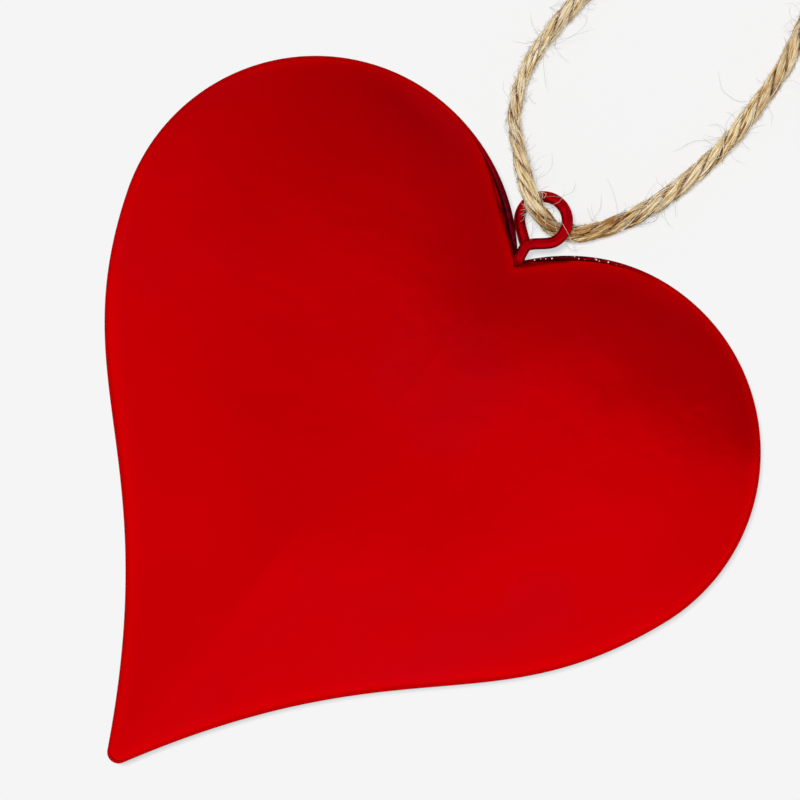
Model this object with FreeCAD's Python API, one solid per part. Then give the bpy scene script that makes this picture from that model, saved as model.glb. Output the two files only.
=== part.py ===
import FreeCAD, Part
import math
import os

from FreeCAD import Vector

# Puffed tin heart on a loop of jute twine, in millimetres.
# The heart lies on its back: X across it, +Y from the tip to the cleft, +Z out of its face.
# The origin is under the middle of the heart, on the surface that it rests on.

# Heart outline, seen from the face
LOBE_RADIUS = 35.0
LOBE_OVERLAP = 14.4
LOBE_CENTRE_ABOVE_TIP = 92.0
FLANK_START_DEG = 20.0
FLANK_UPPER_PULL = 36.0
FLANK_LOWER_PULL = 54.0
TIP_RADIUS = 2.0
TIP_HALF_ANGLE_DEG = 28.0

# Pressed shells
SHEET = 0.4
FRONT_CROWN = 6.4
REAR_CROWN = 6.4
REST_FLAT_DEPTH = 0.4
FACE_FLAT_DEPTH = 0.1
SPINE_TOP_ABOVE_TIP = 78.0
SPINE_LOW_ABOVE_TIP = 50.0
VALLEY_SAG = 6.0
RIDGE_BLUNT = 18.0
FADE_POWER = 3

# Soldered edge seam: ground nearly flush, and left wide beside the cleft
SEAM_WIDTH = 0.3
SEAM_HALF_HEIGHT = 0.55
SEAM_ROUNDING = 0.22
CLEFT_SEAM_WIDTH = 1.2
LEFT_SEAM_WIDTH = 1.7
RIGHT_SEAM_WIDTH = 0.7
SEAM_SPREAD_LENGTH = 4.0
SEAM_TAPER_LENGTH = 26.0

# Wire eye
WIRE_DIAMETER = 2.0
EYE_RADIUS = 4.2
EYE_OFFSET = -0.3
EYE_ABOVE_CLEFT = 8.54
EYE_LIFT = 0.4
EYE_PITCH = 2.15
EYE_START_DEG = -45.0
EYE_END_DEG = 235.0
SHANK_LEAN_DEG = 9.8
SHANK_BURIED_LENGTH = 6.0
TAIL_LENGTH = 3.0
WIRE_SEAT_GAP = 0.15

# Solder fillet round the shank, from inside the cleft up to a thin edge on the wire
SOLDER_RADIUS = 2.1
SOLDER_DEPTH = 1.0
SOLDER_RISE = 1.2
SOLDER_EDGE = 0.3

# Twine
TWINE_DIAMETER = 3.0
KNOT_RADIUS = 4.0
KNOT_LENGTH = 10.0
KNOT_PLACE = (-1.6, 91.0)
KNOT_REST_GAP = 0.02
KNOT_WAIST_DEPTH = 0.5

# Route of the twine from the knot, down through the eye and back to the knot:
# X and Y from the middle of the eye, and the height above the surface.
TWINE_ROUTE = [
    (-3.4, 88.5, 3.6),
    (-7.6, 79.5, 1.8),
    (-13.0, 66.5, 1.5),
    (-17.6, 52.0, 1.5),
    (-19.4, 38.0, 1.5),
    (-20.1, 26.0, 1.5),
    (-18.9, 17.0, 1.5),
    (-15.1, 10.3, 2.3),
    (-11.0, 6.9, 5.4),
    (-7.4, 4.2, 7.5),
    (-4.4, 2.0, 8.3),
    (-1.7, 0.7, 7.1),
    (1.7, 0.0, 4.0),
    (4.4, 0.9, 2.6),
    (7.3, 2.9, 2.4),
    (10.3, 7.2, 1.7),
    (13.3, 13.4, 1.5),
    (15.4, 21.0, 1.5),
    (16.9, 30.0, 1.5),
    (16.8, 40.0, 1.5),
    (15.3, 50.5, 1.5),
    (11.8, 62.0, 1.5),
    (7.0, 73.0, 1.5),
    (2.6, 81.5, 1.8),
    (0.2, 88.5, 3.6),
]

# The two ends past the knot, in the same terms
FIRST_END_ROUTE = [
    (-3.0, 93.5, 3.4),
    (-4.2, 100.0, 2.0),
    (-6.6, 106.5, 1.5),
    (-10.2, 111.5, 1.5),
]
SECOND_END_ROUTE = [
    (-0.2, 93.5, 3.4),
    (0.9, 99.5, 2.0),
    (3.4, 104.5, 1.5),
    (7.6, 107.5, 1.5),
]

# How the curves are divided, and how far an arc fills the runs beside it
LOBE_STEPS = 18
FLANK_STEPS = 14
TIP_STEPS = 4
CROWN_STEPS = 8
EYE_STEPS = 14
ARC_FILL_SHARE = 0.45
RING_FILL_SHARE = 0.49

HEART_LENGTH = LOBE_CENTRE_ABOVE_TIP + LOBE_RADIUS
TIP_Y = -HEART_LENGTH / 2
RIM_Z = REAR_CROWN - REST_FLAT_DEPTH
LOBE_X = LOBE_RADIUS - LOBE_OVERLAP / 2
LOBE_CENTRE = Vector(LOBE_X, LOBE_CENTRE_ABOVE_TIP, 0)
CLEFT_Y = TIP_Y + LOBE_CENTRE_ABOVE_TIP + math.sqrt(LOBE_RADIUS ** 2 - LOBE_X ** 2)
WIRE_RADIUS = WIRE_DIAMETER / 2
TWINE_RADIUS = TWINE_DIAMETER / 2
EYE_CENTRE = Vector(EYE_OFFSET, CLEFT_Y + EYE_ABOVE_CLEFT, RIM_Z)
RIGHT, LEFT = 1, -1


def smooth(value):
    """Ease from 0 to 1 with level ends."""
    value = min(max(value, 0), 1)
    return value * value * (3 - 2 * value)


def seam_width(side, distance):
    """Width of the soldered seam at a distance along the lobe from the cleft."""
    wide = RIGHT_SEAM_WIDTH if side == RIGHT else LEFT_SEAM_WIDTH
    wide = CLEFT_SEAM_WIDTH + (wide - CLEFT_SEAM_WIDTH) * smooth(distance / SEAM_SPREAD_LENGTH)
    return SEAM_WIDTH + (wide - SEAM_WIDTH) * (1 - smooth(distance / SEAM_TAPER_LENGTH))


def flank_curve():
    """The S-shaped flank of the right half, from the lobe to the rounded tip, above the tip."""
    start = math.radians(FLANK_START_DEG)
    tip = math.radians(TIP_HALF_ANGLE_DEG)
    upper = LOBE_CENTRE + Vector(math.cos(start), -math.sin(start), 0) * LOBE_RADIUS
    lower = Vector(TIP_RADIUS * math.cos(tip), TIP_RADIUS * (1 - math.sin(tip)), 0)
    down = Vector(-math.sin(start), -math.cos(start), 0)
    up = Vector(math.sin(tip), math.cos(tip), 0)
    curve = Part.BezierCurve()
    curve.setPoles([upper, upper + down * FLANK_UPPER_PULL, lower + up * FLANK_LOWER_PULL, lower])
    return curve


FLANK = flank_curve()


def half_outline(side, inset_at):
    """Points of one half from the cleft to the tip, moved inwards by inset_at(distance)."""
    points = []
    first_radius = LOBE_RADIUS - inset_at(0)
    first = math.acos(-LOBE_X / first_radius)
    last = -math.radians(FLANK_START_DEG)
    for step in range(LOBE_STEPS):
        angle = first + (last - first) * step / LOBE_STEPS
        radius = LOBE_RADIUS - inset_at(LOBE_RADIUS * (first - angle))
        points.append(LOBE_CENTRE + Vector(math.cos(angle), math.sin(angle), 0) * radius)
    far = inset_at(LOBE_RADIUS * (first - last))
    for step in range(FLANK_STEPS):
        along = step / FLANK_STEPS
        tangent = FLANK.tangent(along)[0]
        points.append(FLANK.value(along) + Vector(tangent.y, -tangent.x, 0) * far)
    start = -math.radians(TIP_HALF_ANGLE_DEG)
    radius = TIP_RADIUS - far
    for step in range(TIP_STEPS + 1):
        angle = start + (-math.pi / 2 - start) * step / TIP_STEPS
        points.append(Vector(radius * math.cos(angle), TIP_RADIUS + radius * math.sin(angle), 0))
    points[0].x = 0
    points[-1].x = 0
    return [Vector(side * point.x, point.y, 0) for point in points]


def chord_shares(points):
    """Distance along the points, as a share of the whole."""
    lengths = [0]
    for before, after in zip(points, points[1:]):
        lengths.append(lengths[-1] + (after - before).Length)
    return [length / lengths[-1] for length in lengths]


OUTLINE_SHARES = chord_shares(half_outline(RIGHT, lambda distance: 0))


def soft_outline(points):
    """The outline with its cleft filled and its tip blunted, which the crown takes on."""
    soft = []
    for point, along in zip(points, OUTLINE_SHARES):
        height = point.y
        if abs(point.x) < LOBE_X and along < OUTLINE_SHARES[LOBE_STEPS]:
            top = LOBE_CENTRE_ABOVE_TIP + math.hypot(abs(point.x) - LOBE_X, point.y - LOBE_CENTRE_ABOVE_TIP)
            height = top - VALLEY_SAG * (1 + math.cos(math.pi * point.x / LOBE_X)) / 2
        low = smooth((along - OUTLINE_SHARES[LOBE_STEPS]) / (1 - OUTLINE_SHARES[LOBE_STEPS]))
        blunt = math.hypot(point.y, RIDGE_BLUNT)
        soft.append(Vector(point.x, height + (blunt - height) * low, 0))
    return soft


def contour(level, side, inset_at, height):
    """One half of a height contour: level 1 is the rim, and level 0 the spine of the crown."""
    rim = half_outline(side, inset_at)
    fade = level ** FADE_POWER
    points = []
    for edge, soft, along in zip(rim, soft_outline(rim), OUTLINE_SHARES):
        spine = Vector(0, SPINE_TOP_ABOVE_TIP + (SPINE_LOW_ABOVE_TIP - SPINE_TOP_ABOVE_TIP) * along, 0)
        reach = (edge - spine) * fade + (soft - spine) * (1 - fade)
        points.append(spine + reach * level + Vector(0, TIP_Y, RIM_Z + height))
    curve = Part.BSplineCurve()
    curve.interpolate(Points=points, Parameters=OUTLINE_SHARES)
    return curve.toShape()


def contour_wire(level, inset, height, seamed=True):
    """A closed contour: both halves, inside the seam or out to the full outline."""
    halves = []
    for side in (RIGHT, LEFT):
        def inset_at(distance, side=side):
            return inset + (seam_width(side, distance) if seamed else 0)
        halves.append(contour(level, side, inset_at, height))
    return Part.Wire(halves)


def dome(crown, flat_depth, inset, facing):
    """Solid half of the heart from the rim to a crown with a small level flat."""
    crown = crown - inset
    flat_angle = math.asin((crown - flat_depth) / crown)
    sections = []
    for step in range(CROWN_STEPS + 1):
        angle = flat_angle * step / CROWN_STEPS
        sections.append(contour_wire(math.cos(angle), inset, facing * crown * math.sin(angle)))
    return Part.makeLoft(sections, True, False)


def rounded_path(points, fill_share):
    """Straight runs between the points joined by tangent arcs, and the arcs' radii."""
    edges = []
    radii = []
    start = points[0]
    for before, corner, after in zip(points, points[1:], points[2:]):
        back = before - corner
        ahead = after - corner
        half_turn = (math.pi - back.getAngle(ahead)) / 2
        reach = fill_share * min(back.Length, ahead.Length)
        radii.append(reach / math.tan(half_turn))
        back.normalize()
        ahead.normalize()
        arc_start = corner + back * reach
        arc_end = corner + ahead * reach
        middle = (back + ahead).normalize()
        middle = corner + middle * (radii[-1] / math.cos(half_turn) - radii[-1])
        edges.append(Part.LineSegment(start, arc_start).toShape())
        edges.append(Part.Arc(arc_start, middle, arc_end).toShape())
        start = arc_end
    edges.append(Part.LineSegment(start, points[-1]).toShape())
    return Part.Wire(edges), radii


def round_bar(path, radius):
    """A round bar or tube swept along a path."""
    first = path.Edges[0]
    start = first.FirstParameter
    section = Part.makeCircle(radius, first.valueAt(start), first.tangentAt(start))
    return path.makePipeShell([Part.Wire(section)], True, False)


def eye_path():
    """Centreline of the eye: buried shank, bend, one helical turn, and a tail under the shank."""
    lean = math.radians(SHANK_LEAN_DEG)
    first = math.radians(EYE_START_DEG)
    last = math.radians(EYE_END_DEG)
    step_angle = (last - first) / EYE_STEPS
    corner_radius = EYE_RADIUS / math.cos(step_angle / 2)
    turn = []
    for step in range(EYE_STEPS):
        angle = first + step_angle * (step + 1 / 2)
        drop = EYE_PITCH * (step + 1 / 2) / EYE_STEPS
        turn.append(Vector(corner_radius * math.cos(angle), corner_radius * math.sin(angle), -drop))
    entry = Vector(EYE_RADIUS * math.cos(first), EYE_RADIUS * math.sin(first), 0)
    shank_x = WIRE_RADIUS / 2
    slide = (entry.x - shank_x) / math.cos(first)
    bend = Vector(shank_x, entry.y - slide * math.cos(first), 0)
    buried = EYE_CENTRE.y - CLEFT_Y + SHANK_BURIED_LENGTH + bend.y
    foot = bend + Vector(math.sin(lean), -math.cos(lean), 0) * buried
    leave = Vector(EYE_RADIUS * math.cos(last), EYE_RADIUS * math.sin(last), -EYE_PITCH)
    tail = leave + Vector(-math.sin(last), math.cos(last), 0) * TAIL_LENGTH
    lift = EYE_CENTRE + Vector(0, 0, EYE_LIFT)
    return [lift + point for point in [foot, bend] + turn + [tail]]


def fillet_round_wire(foot, bend):
    """The solder round the straight shank: full in the cleft, hollowed up to its thin edge."""
    up = (bend - foot).normalize()
    out = up.cross(Vector(0, 0, 1)).normalize()
    base = foot + up * ((CLEFT_Y - foot.y) / up.y)
    bore = WIRE_RADIUS + WIRE_SEAT_GAP
    lip = bore + SOLDER_EDGE
    low_in, low_out = [base + out * radius - up * SOLDER_DEPTH for radius in (bore, SOLDER_RADIUS)]
    top_out, top_in = [base + out * radius + up * SOLDER_RISE for radius in (lip, bore)]
    shoulder = base + out * SOLDER_RADIUS
    hollow = (shoulder + top_out) / 2 - (out + up) * (SOLDER_EDGE / 2)
    edges = [
        Part.LineSegment(low_in, low_out),
        Part.LineSegment(low_out, shoulder),
        Part.Arc(shoulder, hollow, top_out),
        Part.LineSegment(top_out, top_in),
        Part.LineSegment(top_in, low_in),
    ]
    profile = Part.Face(Part.Wire([edge.toShape() for edge in edges]))
    return profile.revolve(base, up, 360)


def placed(route):
    """Points given from the middle of the eye, in the part's frame."""
    return [Vector(EYE_CENTRE.x + x, EYE_CENTRE.y + y, z) for x, y, z in route]


def twine(route, name):
    """A length of twine along its route, with its arcs' radii and its volume printed."""
    path, radii = rounded_path(placed(route), ARC_FILL_SHARE)
    solid = round_bar(path, TWINE_RADIUS)
    ideal = math.pi * TWINE_RADIUS ** 2 * path.Length
    print(name, "length %.1f mm, volume %.1f of %.1f mm3" % (path.Length, solid.Volume, ideal))
    print(name, "radii", " ".join("%.1f" % radius for radius in radii))
    return solid


def knot():
    """The knot that joins the ends: a barrel, drawn in where the last turn lies."""
    bulge = KNOT_RADIUS - KNOT_WAIST_DEPTH
    quarter = KNOT_LENGTH / 4
    half = KNOT_LENGTH / 2
    profile = [
        Vector(0, -half, 0),
        Vector(bulge - quarter / 2, -half + quarter / 4, 0),
        Vector(KNOT_RADIUS, -quarter, 0),
        Vector(bulge, 0, 0),
        Vector(KNOT_RADIUS, quarter, 0),
        Vector(bulge - quarter / 2, half - quarter / 4, 0),
        Vector(0, half, 0),
    ]
    curve = Part.BSplineCurve()
    curve.interpolate(Points=profile)
    face = Part.Face(Part.Wire([curve.toShape(), Part.LineSegment(profile[-1], profile[0]).toShape()]))
    barrel = face.revolve(Vector(0, 0, 0), Vector(0, 1, 0), 360)
    across, up = KNOT_PLACE
    barrel.translate(placed([(across, up, KNOT_RADIUS + KNOT_REST_GAP)])[0])
    return barrel


front_outer = dome(FRONT_CROWN, FACE_FLAT_DEPTH, 0, 1)
front_inner = dome(FRONT_CROWN, FACE_FLAT_DEPTH, SHEET, 1)
rear_outer = dome(REAR_CROWN, REST_FLAT_DEPTH, 0, -1)
rear_inner = dome(REAR_CROWN, REST_FLAT_DEPTH, SHEET, -1)

eye_points = eye_path()
eye_wire, eye_radii = rounded_path(eye_points, RING_FILL_SHARE)
eye = round_bar(eye_wire, WIRE_RADIUS)
eye_seat = round_bar(eye_wire, WIRE_RADIUS + WIRE_SEAT_GAP)
print("eye wire length %.1f mm, least radius %.1f mm" % (eye_wire.Length, min(eye_radii)))

seam = Part.makeLoft([
    contour_wire(1, SEAM_ROUNDING, -SEAM_HALF_HEIGHT, False),
    contour_wire(1, 0, 0, False),
    contour_wire(1, SEAM_ROUNDING, SEAM_HALF_HEIGHT, False),
], True, False)
seam = seam.cut([front_outer, rear_outer, eye_seat])

solder = fillet_round_wire(eye_points[0], eye_points[1]).cut([front_outer, rear_outer, seam])

join = knot()
loop = twine(TWINE_ROUTE, "twine_loop").cut(join)
ends = Part.Compound([
    twine(FIRST_END_ROUTE, "first end").cut(join),
    twine(SECOND_END_ROUTE, "second end").cut(join),
])

nodes = {
    "front_shell": front_outer.cut(front_inner).cut(eye_seat),
    "rear_shell": rear_outer.cut(rear_inner).cut(eye_seat),
    "edge_seam": seam,
    "hanger_eye": eye,
    "cleft_solder": solder,
    "twine_loop": loop,
    "twine_knot": join,
    "twine_ends": ends,
}

os.makedirs("parts", exist_ok=True)
for name, shape in nodes.items():
    solids = shape.Solids
    shape = solids[0] if len(solids) == 1 else Part.Compound(solids)
    box = shape.BoundBox
    print(name, "solids", len(solids), "valid", shape.isValid(), "volume %.1f" % shape.Volume,
          "x %.2f %.2f y %.2f %.2f z %.2f %.2f" % (box.XMin, box.XMax, box.YMin, box.YMax, box.ZMin, box.ZMax))
    shape.exportStep("parts/%s.step" % name)
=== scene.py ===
"""A puffed tin heart on a loop of jute twine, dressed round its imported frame.

The heart lies on its back, X across it, +Y from the tip to the cleft and +Z out of its face.
Sizes are in millimetres until a mesh is made, where they are turned to metres.
"""

import bisect
import logging
import math
import random
from dataclasses import dataclass, field
from enum import Enum
from functools import cached_property
from typing import Any, Callable, Sequence

import bmesh
import bpy
from mathutils import Matrix, Vector, noise

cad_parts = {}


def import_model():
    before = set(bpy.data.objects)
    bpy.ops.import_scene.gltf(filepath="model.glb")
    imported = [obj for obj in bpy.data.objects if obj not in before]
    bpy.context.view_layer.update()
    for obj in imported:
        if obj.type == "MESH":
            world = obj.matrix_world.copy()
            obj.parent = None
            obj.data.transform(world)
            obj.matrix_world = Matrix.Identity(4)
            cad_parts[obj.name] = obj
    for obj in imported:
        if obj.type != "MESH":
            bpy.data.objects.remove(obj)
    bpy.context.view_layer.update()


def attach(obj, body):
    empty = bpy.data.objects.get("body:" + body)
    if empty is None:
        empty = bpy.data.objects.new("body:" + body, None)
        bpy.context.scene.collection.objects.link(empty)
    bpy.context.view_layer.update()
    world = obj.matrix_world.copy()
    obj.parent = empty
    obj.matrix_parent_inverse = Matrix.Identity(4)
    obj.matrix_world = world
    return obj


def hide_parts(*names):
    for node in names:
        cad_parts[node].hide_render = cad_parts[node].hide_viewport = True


MM = 0.001
MERGE_DISTANCE = 0.001 * MM
UP = Vector((0, 0, 1))
# A direction whose cross product with UP is shorter than this counts as upright.
UPRIGHT_LIMIT = 0.1

log = logging.getLogger("tin_heart")

Ring = list[Vector]
Strip = list[Ring]
Placed = list[tuple[bmesh.types.BMVert, int, int, int]]
Triples = tuple[tuple[float, float, float], ...]


class Body(Enum):
    """The two moving bodies of the frame."""

    HEART = "heart"
    TWINE = "twine"


class Side(Enum):
    """Which half of the heart, as the sign of its X."""

    RIGHT = 1
    LEFT = -1


class Face(Enum):
    """Which shell, as the sign of the height from the rim to its crown."""

    FRONT = 1
    REAR = -1


def smooth(value: float) -> float:
    """Ease from 0 to 1 with level ends."""
    value = min(max(value, 0.0), 1.0)
    return value * value * (3 - 2 * value)


def linear(hex_code: str) -> tuple[float, float, float, float]:
    """Turn an sRGB hex colour into the linear one that shaders take.

    Args:
        hex_code: Six hex digits, such as "C00008".

    Returns:
        Linear red, green and blue, and an alpha of 1.
    """
    parts = [int(hex_code[place:place + 2], 16) / 255 for place in (0, 2, 4)]
    red, green, blue = [p / 12.92 if p <= 0.04045 else ((p + 0.055) / 1.055) ** 2.4 for p in parts]
    return red, green, blue, 1.0


class Graph:
    """The node tree of a material or a world, filled node by node."""

    def __init__(self, owner: bpy.types.Material | bpy.types.World) -> None:
        """Empty the owner's node tree.

        Args:
            owner: The material or the world.
        """
        owner.use_nodes = True
        self.tree = owner.node_tree
        self.tree.nodes.clear()

    def add(self, kind: str, inputs: dict[Any, Any] | None = None,
            stops: Sequence[tuple[float, str]] = (), **settings: Any) -> bpy.types.bpy_prop_collection:
        """Add one node with its settings, and fill its inputs.

        Args:
            kind: The node's type after "ShaderNode", such as "Math".
            inputs: A value, an sRGB hex colour or another node's output, for each input by name or place.
            stops: A ramp's places from 0 to 1 with their sRGB hex colours.
            **settings: The node's own properties.

        Returns:
            The new node's outputs.
        """
        node = self.tree.nodes.new("ShaderNode" + kind)
        for name, value in settings.items():
            setattr(node, name, value)
        for socket, value in (inputs or {}).items():
            if isinstance(value, bpy.types.NodeSocket):
                self.tree.links.new(value, node.inputs[socket])
            else:
                node.inputs[socket].default_value = linear(value) if isinstance(value, str) else value
        if stops:
            elements = node.color_ramp.elements
            while len(elements) < len(stops):
                elements.new(1.0)
            for element, (place, code) in zip(elements, stops):
                element.position, element.color = place, linear(code)
        return node.outputs

    def layered(self, colour: Any, *layers: tuple[bpy.types.NodeSocket, Any]) -> bpy.types.NodeSocket:
        """Lay colours over each other.

        Args:
            colour: The lowest colour, or an output.
            *layers: The output that says how much each one covers, and its colour or output.

        Returns:
            The output of the uppermost.
        """
        for cover, over in layers:
            colour = self.add("Mix", {0: cover, 6: colour, 7: over}, data_type="RGBA")[2]
        return colour

    def stepped(self, level: Any, *steps: tuple[bpy.types.NodeSocket, float, float, Any]
                ) -> bpy.types.NodeSocket:
        """Add soft steps to a number.

        Args:
            level: The number, or an output.
            *steps: The output that each one follows, where it starts, where it ends, and its height.

        Returns:
            The sum's output.
        """
        for value, start, end, height in steps:
            step = self.add("MapRange", {"Value": value, "From Min": start, "From Max": end,
                                         "To Max": height}, interpolation_type="SMOOTHSTEP")
            level = self.add("Math", {0: level, 1: step["Result"]})[0]
        return level


def skin(mesh: bmesh.types.BMesh, strips: Sequence[Strip]) -> Placed:
    """Lay one sheet over each strip of rings, all cut from a single grid.

    Args:
        mesh: The mesh that gets the sheets.
        strips: Strips of rings with as many points each, in metres.

    Returns:
        Each vertex with its strip, its ring and its place in the ring.
    """
    columns = len(strips[0][0]) - 1
    rows = [(strip, ring) for strip, rings in enumerate(strips) for ring in range(len(rings))]
    made = bmesh.ops.create_grid(mesh, x_segments=columns, y_segments=len(rows) - 1, size=0.5)
    placed = []
    strip_of = {}
    for vert in made["verts"]:
        column = round((vert.co.x + 0.5) * columns)
        strip, ring = rows[round((vert.co.y + 0.5) * (len(rows) - 1))]
        vert.co = strips[strip][ring][column]
        strip_of[vert] = strip
        placed.append((vert, strip, ring, column))
    between = [face for face in mesh.faces if len({strip_of[vert] for vert in face.verts}) > 1]
    bmesh.ops.delete(mesh, geom=between, context="FACES")
    return placed


def finish_piece(name: str, mesh: bmesh.types.BMesh) -> bpy.types.Object:
    """Close a mesh's seams, point its faces outwards and make it a piece.

    Args:
        name: The piece's name.
        mesh: The mesh, in metres in the frame's place, which is used up.

    Returns:
        The piece, at the origin.
    """
    bmesh.ops.remove_doubles(mesh, verts=mesh.verts, dist=MERGE_DISTANCE)
    bmesh.ops.dissolve_degenerate(mesh, dist=MERGE_DISTANCE / 2, edges=mesh.edges)
    bmesh.ops.recalc_face_normals(mesh, faces=mesh.faces)
    for face in mesh.faces:
        face.smooth = True
    data = bpy.data.meshes.new(name)
    mesh.to_mesh(data)
    mesh.free()
    piece = bpy.data.objects.new(name, data)
    bpy.context.scene.collection.objects.link(piece)
    return piece


def fit_out(piece: bpy.types.Object, material: bpy.types.Material, body: Body,
            nodes: Sequence[str] = ()) -> bpy.types.Object:
    """Give a piece its finish and its body, and hide the frame's nodes that it stands for.

    Args:
        piece: The piece.
        material: Its finish.
        body: The body that it moves with.
        nodes: The frame's nodes that it replaces.

    Returns:
        The piece.
    """
    piece.data.materials.append(material)
    # The floor beside the heart shows its shadow but none of its red.
    piece.visible_diffuse = body is Body.TWINE
    if nodes:
        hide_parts(*nodes)
    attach(piece, body.value)
    triangles = sum(len(face.vertices) - 2 for face in piece.data.polygons)
    log.info("%s rides on %s, %d triangles", piece.name, body.value, triangles)
    return piece


class Line:
    """A smooth line with a side vector that doesn't turn about it."""

    def __init__(self, points: Sequence[Vector]) -> None:
        """Work out distances and directions along the points.

        Args:
            points: Points along the line, close together.
        """
        self.points = list(points)
        self.distances = [0.0]
        for before, after in zip(self.points, self.points[1:]):
            self.distances.append(self.distances[-1] + (after - before).length)
        last = len(self.points) - 1
        self.ahead = [(self.points[min(index + 1, last)] - self.points[max(index - 1, 0)]).normalized()
                      for index in range(last + 1)]
        side = self.ahead[0].cross(UP)
        if side.length < UPRIGHT_LIMIT:
            side = self.ahead[0].cross(Vector((1, 0, 0)))
        self.sides = [side.normalized()]
        for before, after in zip(self.ahead, self.ahead[1:]):
            turned = before.rotation_difference(after) @ self.sides[-1]
            self.sides.append((turned - after * turned.dot(after)).normalized())

    @property
    def length(self) -> float:
        """The line's length."""
        return self.distances[-1]

    def at(self, distance: float) -> tuple[Vector, Vector, Vector, Vector]:
        """The place and directions at a distance along the line.

        Args:
            distance: The distance from the first point.

        Returns:
            The point, the direction ahead, the side vector, and the vector square to both.
        """
        distance = min(max(distance, 0.0), self.length)
        index = min(max(bisect.bisect_right(self.distances, distance) - 1, 0), len(self.points) - 2)
        span = self.distances[index + 1] - self.distances[index]
        part = (distance - self.distances[index]) / span if span > 0 else 0.0
        point = self.points[index].lerp(self.points[index + 1], part)
        ahead = self.ahead[index].lerp(self.ahead[index + 1], part).normalized()
        side = self.sides[index].lerp(self.sides[index + 1], part)
        side = (side - ahead * side.dot(ahead)).normalized()
        return point, ahead, side, ahead.cross(side)

    def bar(self, radius_at: Callable[[float], float], step: float, sides: int) -> Strip:
        """Rings of a round bar along the line, closed to a point at each end.

        Args:
            radius_at: The radius by distance along the line.
            step: The distance between rings.
            sides: The points round a ring.

        Returns:
            The rings.
        """
        count = max(3, math.ceil(self.length / step))
        angles = [math.tau * place / sides for place in range(sides)] + [0.0]
        rings = [[self.points[0].copy() for _ in angles]]
        for index in range(count + 1):
            distance = self.length * index / count
            point, _, side, up = self.at(distance)
            radius = radius_at(distance)
            rings.append([point + (side * math.cos(angle) + up * math.sin(angle)) * radius
                          for angle in angles])
        rings.append([self.points[-1].copy() for _ in angles])
        return rings


def route_line(name: str, points: Sequence[Vector], steps: int = 16) -> Line:
    """Read a smooth line from a route's control points.

    Args:
        name: The route's name.
        points: The control points, in metres.
        steps: How finely each stretch is divided.

    Returns:
        The line.
    """
    curve = bpy.data.curves.new(name, "CURVE")
    curve.dimensions = "3D"
    curve.resolution_u = steps
    spline = curve.splines.new("NURBS")
    spline.points.add(len(points) - 1)
    for knot, point in zip(spline.points, points):
        knot.co = (*point, 1.0)
    spline.order_u = 3
    spline.use_endpoint_u = True
    holder = bpy.data.objects.new(name, curve)
    mesh = bpy.data.meshes.new_from_object(holder)
    line = Line([vert.co.copy() for vert in mesh.vertices])
    bpy.data.objects.remove(holder)
    bpy.data.curves.remove(curve)
    bpy.data.meshes.remove(mesh)
    return line


@dataclass(frozen=True)
class Finish:
    """A finish made with one shader. Each kind says what feeds the shader."""

    name: str
    roughness: float

    def inputs(self, graph: Graph) -> dict[str, Any]:
        """What feeds the shader, by the name of its input."""
        raise NotImplementedError

    def material(self) -> bpy.types.Material:
        """Make the finish's material.

        Returns:
            The material.
        """
        material = bpy.data.materials.new(self.name)
        graph = Graph(material)
        shader = graph.add("BsdfPrincipled", {"Roughness": self.roughness, **self.inputs(graph)})
        graph.add("OutputMaterial", {"Surface": shader["BSDF"]})
        return material


@dataclass(frozen=True)
class LacqueredTin(Finish):
    """Translucent red lacquer sprayed over pressed tinplate: a deep red that shines as metal does."""

    name: str = "red_lacquer_on_tinplate"
    colour: str = "CE0004"
    thin_colour: str = "D40006"
    # Painted reflection: bluish patches laid at random into the lacquer's colour, standing in for soft
    # reflections of pale light.
    painted_reflection_colour: str = "BE0820"
    edge_tint: str = "8C0008"
    roughness: float = 0.22
    cloud_size: float = 38.0
    painted_reflection_size: float = 24.0
    painted_reflection_start: float = 0.58
    painted_reflection_full: float = 0.74
    painted_reflection_strength: float = 0.18
    polish: float = 0.02
    dulling: float = 0.03
    peel_size: float = 0.9
    peel_depth: float = 0.0010
    dent_size: float = 13.0
    dent_depth: float = 0.23

    def inputs(self, graph: Graph) -> dict[str, Any]:
        """Lay clouds of thicker lacquer, patches of painted bluish reflection, orange peel and shallow
        dents.

        Args:
            graph: The material's node tree.

        Returns:
            What feeds the shader, by the name of its input.
        """
        place = graph.add("TexCoord")["Object"]
        clouds, drift, peel, dents = (
            graph.add("TexNoise", {"Vector": place, "Scale": 1 / (size * MM), "Detail": detail})["Fac"]
            for size, detail in ((self.cloud_size, 2.0), (self.painted_reflection_size, 1.0), (self.peel_size, 2.0),
                                 (self.dent_size, 3.5)))
        lacquer = graph.add("ValToRGB", {"Fac": clouds}, [(0.35, self.colour), (0.65, self.thin_colour)])
        # Painted reflection: how much of the bluish colour each patch gets.
        painted_reflection = graph.add("MapRange", {"Value": drift, "From Min": self.painted_reflection_start,
                                      "From Max": self.painted_reflection_full, "To Max": self.painted_reflection_strength})
        wear = graph.add("MapRange", {"Value": clouds, "From Min": 0.3, "From Max": 0.7,
                                      "To Min": self.roughness - self.polish,
                                      "To Max": self.roughness + self.dulling})
        wavy = graph.add("Bump", {"Height": dents, "Distance": self.dent_depth * MM})
        bump = graph.add("Bump", {"Height": peel, "Distance": self.peel_depth * MM,
                                  "Normal": wavy["Normal"]})
        return {"Base Color": graph.layered(lacquer["Color"], (painted_reflection["Result"], self.painted_reflection_colour)),
                "Metallic": 1.0, "Roughness": wear["Result"], "Specular Tint": self.edge_tint,
                "Normal": bump["Normal"]}


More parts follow.
